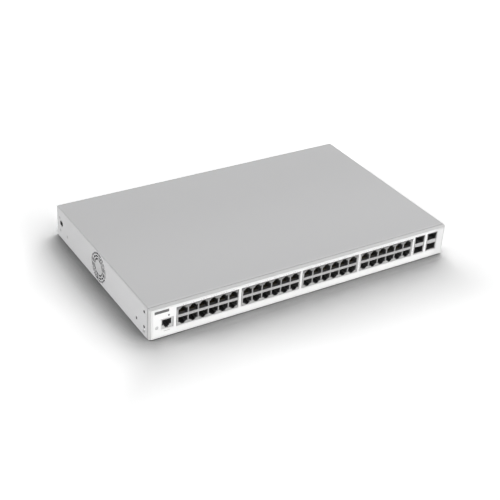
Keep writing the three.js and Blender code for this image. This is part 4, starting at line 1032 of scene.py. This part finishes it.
def flat_sheet(form, x, z, width, height):
    """A rectangle of ink on the face."""
    corners = box_corners(width / 2, height / 2)
    form.faces.new([form.verts.new((x + across, FRONT + INK_SETBACK, z + up)) for across, up in corners])


def inked(patches, name):
    form = bmesh.new()
    for patch in patches:
        flat_sheet(form, *patch)
    return as_mesh(form, name)


def printed_numbers(places):
    """Plain numbers on the face, each given as its value and its middle."""
    form = bmesh.new()
    for value, x, z in places:
        curve = bpy.data.curves.new("number", "FONT")
        curve.body = str(value)
        curve.size = NUMBER_HEIGHT / DIGIT_SHARE
        curve.align_x = "CENTER"
        curve.align_y = "CENTER"
        curve.resolution_u = 3
        holder = bpy.data.objects.new("number", curve)
        mesh = bpy.data.meshes.new_from_object(holder)
        mesh.transform(Matrix.Translation((x, FRONT + INK_SETBACK, z)) @ Matrix.Rotation(math.pi / 2, 4, "X"))
        form.from_mesh(mesh)
        bpy.data.objects.remove(holder)
        bpy.data.meshes.remove(mesh)
    return as_mesh(form, "numbers")


def group_middle(group):
    return middle_of(f"port_shield_{group}").x


def port_number_places():
    places = []
    for group in GROUPS:
        for column, offset in enumerate(column_offsets()):
            x = group_middle(group) + offset
            upper = 1 + 2 * (column + JACK_COLUMNS * (group - 1))
            places += [(upper, x - NUMBER_OFFSET, LAMP_ROW), (upper + 1, x + NUMBER_OFFSET, LAMP_ROW)]
    return places


status_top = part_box("status_light_pipe")[1].z
lamp_windows = [(group_middle(group) + offset, LAMP_ROW, *LAMP_WINDOW)
                for group in GROUPS for offset in column_offsets()]
status_window = (middle_of("status_light_pipe").x, status_top - STATUS_PIPE / 2, STATUS_WINDOW, STATUS_WINDOW)
add_piece("lamp_windows", inked(lamp_windows, "windows"), LAMP_PRINT)
add_piece("status_window", inked([status_window, SMALL_LAMP], "status"), DARK_PRINT)
add_piece("port_numbers", printed_numbers(port_number_places() + CAGE_NUMBERS), GREY_PRINT)
add_piece("name_bar", inked([NAME_BAR], "bar"), BAR_PRINT)
add_piece("console_line", inked([CONSOLE_LINE], "line"), PALE_PRINT)
slotted("sheet_edges", inked(SHEET_EDGES, "edges"), "overlay_print")
sheet_form = softened("front_overlay", 0.05 * MM)
sheet_form.location.y = SHEET_SETBACK


# Mode button

BUTTON_SHAPE = [(0, 0.12), (0.9, 0.09), (1.5, 0.02), (1.75, 0.0), (1.92, 0.08), (2.0, 0.28), (2.0, 2.1),
                (3.0, 2.1), (3.0, 2.9), (1.3, 2.9), (1.3, 8.0), (0, 8.0)]  # radius and depth, mm


def in_metres(profile):
    return [(radius * MM, along * MM) for radius, along in profile]


def button_form():
    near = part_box("mode_button")[0].y
    middle = middle_of("mode_button")
    form = bmesh.new()
    turned(form, in_metres(BUTTON_SHAPE), Vector((middle.x, near, middle.z)), Y_AXIS)
    return finished(form, "button")


stand_in("mode_button", button_form(), "mode_button")


# Screws, with cross recesses

PAN_RISE = 1.05
PAN_HEAD = [(0, -PAN_RISE), (1.2, -1.0), (2.1, -0.82), (2.65, -0.5), (2.86, -0.15), (2.9, 0.15), (1.2, 0.15),
            (1.2, 6.2), (0, 6.2)]  # radius and distance from the seat, mm
FLAT_HEAD = [(0, 0.04), (2.1, 0.04), (2.26, 0.12), (1.2, 0.72), (1.2, 5.9), (0, 5.9)]
RECESS_LENGTH = 2.9 * MM
RECESS_WIDTH = 0.62 * MM
RECESS_DEPTH = 0.95 * MM
RECESS_ABOVE = 0.5 * MM
RECESS_ENDS = (1.15, 0.35)  # shares of the recess's size above the head and at its bottom
RECESS_TAPER = 0.4  # how much of the width follows that share
SCREW_SIDES = 24


def recess_cutter(top):
    """A cross that narrows with depth, along +Z from just above the head's top."""
    form = bmesh.new()
    for long_way in (0, 1):
        ends = []
        for height, share in zip((top - RECESS_ABOVE, top + RECESS_DEPTH), RECESS_ENDS):
            long_side = RECESS_LENGTH / 2 * share
            short_side = RECESS_WIDTH / 2 * (1 - RECESS_TAPER + RECESS_TAPER * share)
            corners = box_corners(long_side, short_side) if long_way else box_corners(short_side, long_side)
            ends.append([form.verts.new((across, up, height)) for across, up in corners])
        skinned(form, ends)
    return finished(form, "recess")


def screw_form(profile):
    """A screw along +Z whose head is at the bottom."""
    form = bmesh.new()
    turned(form, in_metres(profile), Vector((0, 0, 0)), Z_AXIS, SCREW_SIDES)
    return carved(finished(form, "screw"), recess_cutter(profile[0][1] * MM))


def place_screw(node, form, head, axis):
    """Puts a screw at the head's seat, pointing along the axis, in the place of its solid."""
    mesh = form.copy()
    mesh.transform(Matrix.Translation(head) @ axis.to_track_quat("Z", "Y").to_matrix().to_4x4())
    stand_in(node, mesh)


pan_screw = screw_form(PAN_HEAD)
flat_screw = screw_form(FLAT_HEAD)
for node in ("inlet_screw_1", "inlet_screw_2", "ground_screw", "cover_screw_3", "cover_screw_4"):
    middle = middle_of(node)
    place_screw(node, pan_screw, Vector((middle.x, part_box(node)[1].y - PAN_RISE * MM, middle.z)), -Y_AXIS)
for node, axis in (("cover_screw_1", X_AXIS), ("cover_screw_2", -X_AXIS), ("fan_screw_1", X_AXIS),
                   ("fan_screw_2", X_AXIS)):
    low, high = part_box(node)
    middle = middle_of(node)
    face = low.x if axis.x > 0 else high.x
    place_screw(node, flat_screw, Vector((face, middle.y, middle.z)), axis)


# Fan rotor: a cup with a rounded crown, and curved blades that twist from the hub to the tip

CUP_SHAPE = [(0, 14.9), (7.6, 14.9), (8.4, 14.75), (9.0, 14.3), (9.3, 13.5), (9.3, 0.3), (7.4, 0.3),
             (7.4, 13.0), (1.2, 13.0), (1.2, 3.3), (0, 3.3)]  # radius and distance from the frame's foot, mm
CUP_SIDES = 48
BLADES = 7
BLADE_CHORD = 12 * MM
BLADE_SHEET = 1.1 * MM
BLADE_ROOT = 8.35 * MM
BLADE_TIP = 18.0 * MM
BLADE_MIDDLE = 7.85 * MM
BLADE_ANGLE = 0.95  # radians from the axis, at the hub
BLADE_TWIST = 0.35
BLADE_STATIONS = 7
BLADE_POINTS = 7  # on each face, from edge to edge
BLADE_EDGE = 0.04  # least share of the bow, so that the edges keep a thickness


def blade_section(share):
    """The points round a blade at one radius, given as the distance along the axis and across it."""
    angle = BLADE_ANGLE - share * BLADE_TWIST
    points = []
    for way in (1, -1):
        for i in range(BLADE_POINTS):
            along = way * math.cos(math.pi * i / (BLADE_POINTS - 1)) / 2
            bow = 1 - (2 * along) ** 2
            thick = BLADE_SHEET * (bow + way * math.sqrt(max(bow, BLADE_EDGE)) / 2)
            if way < 0 and i in (0, BLADE_POINTS - 1):
                continue
            chord = along * BLADE_CHORD
            points.append((chord * math.cos(angle) - thick * math.sin(angle),
                           chord * math.sin(angle) + thick * math.cos(angle)))
    return points


def rotor_form():
    middle = middle_of("fan_rotor")
    foot = Vector((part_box("fan_frame")[0].x, middle.y, middle.z))
    form = bmesh.new()
    turned(form, in_metres(CUP_SHAPE), foot, X_AXIS, CUP_SIDES)
    for blade in range(BLADES):
        turn = Matrix.Rotation(2 * math.pi * blade / BLADES, 3, "X")
        rings = []
        for station in range(BLADE_STATIONS):
            share = station / (BLADE_STATIONS - 1)
            radius = BLADE_ROOT + share * (BLADE_TIP - BLADE_ROOT)
            points = [Vector((BLADE_MIDDLE + along, across, math.sqrt(radius ** 2 - across ** 2)))
                      for along, across in blade_section(share)]
            rings.append([form.verts.new(foot + turn @ point) for point in points])
        skinned(form, rings)
    return finished(form, "rotor")


stand_in("fan_rotor", rotor_form(), "fan_rotor")


# Pins of the power inlet: bright blades with tapered tips, over the moulded ones

PIN_SKIN = 0.04 * MM
PIN_SIZE = (2 * MM, 13 * MM, 4 * MM)
PIN_TAPER = 1.2 * MM
PIN_PLACES = [(163 * MM, 20 * MM), (177 * MM, 20 * MM), (170 * MM, 24 * MM)]
PIN_FOOT = 118.75 * MM
PIN_TIP = 0.35 * MM  # how far a tip's end is drawn in


def inlet_pins():
    form = bmesh.new()
    wide, length, high = PIN_SIZE
    for x, z in PIN_PLACES:
        rings = []
        for y, inset in ((PIN_FOOT, 0), (PIN_FOOT + length - PIN_TAPER, 0), (PIN_FOOT + length, 0),
                         (PIN_FOOT + length + PIN_SKIN, PIN_TIP)):
            corners = box_corners(wide / 2 + PIN_SKIN - inset, high / 2 + PIN_SKIN - inset)
            rings.append([form.verts.new((x + across, y, z + up)) for across, up in corners])
        skinned(form, rings)
    return finished(form, "pins")


slotted("inlet_pins", inlet_pins(), "screw_steel")


# The other solids: most get softer edges, the rest keep their form

softened("top_cover", 0.12 * MM)
softened("front_bezel", 0.3 * MM, segments=3)
for node in ("chassis_base", "front_plate", "power_inlet", "fan_frame", "fan_header"):
    softened(node, 0.12 * MM)
for group in GROUPS:
    softened(f"port_shield_{group}", 0.08 * MM)
    softened(f"port_insert_{group}", 0.15 * MM)
for group in CAGES:
    softened(f"sfp_cage_{group}", 0.1 * MM)
    softened(f"sfp_connector_{group}", 0.12 * MM)
softened("console_shield", 0.08 * MM)
softened("console_insert", 0.15 * MM)
for node, obj in frame["nodes"].items():
    if not obj.hide_render:
        obj.data.materials.clear()
        obj.data.materials.append(MATERIALS[slot_of(node)])
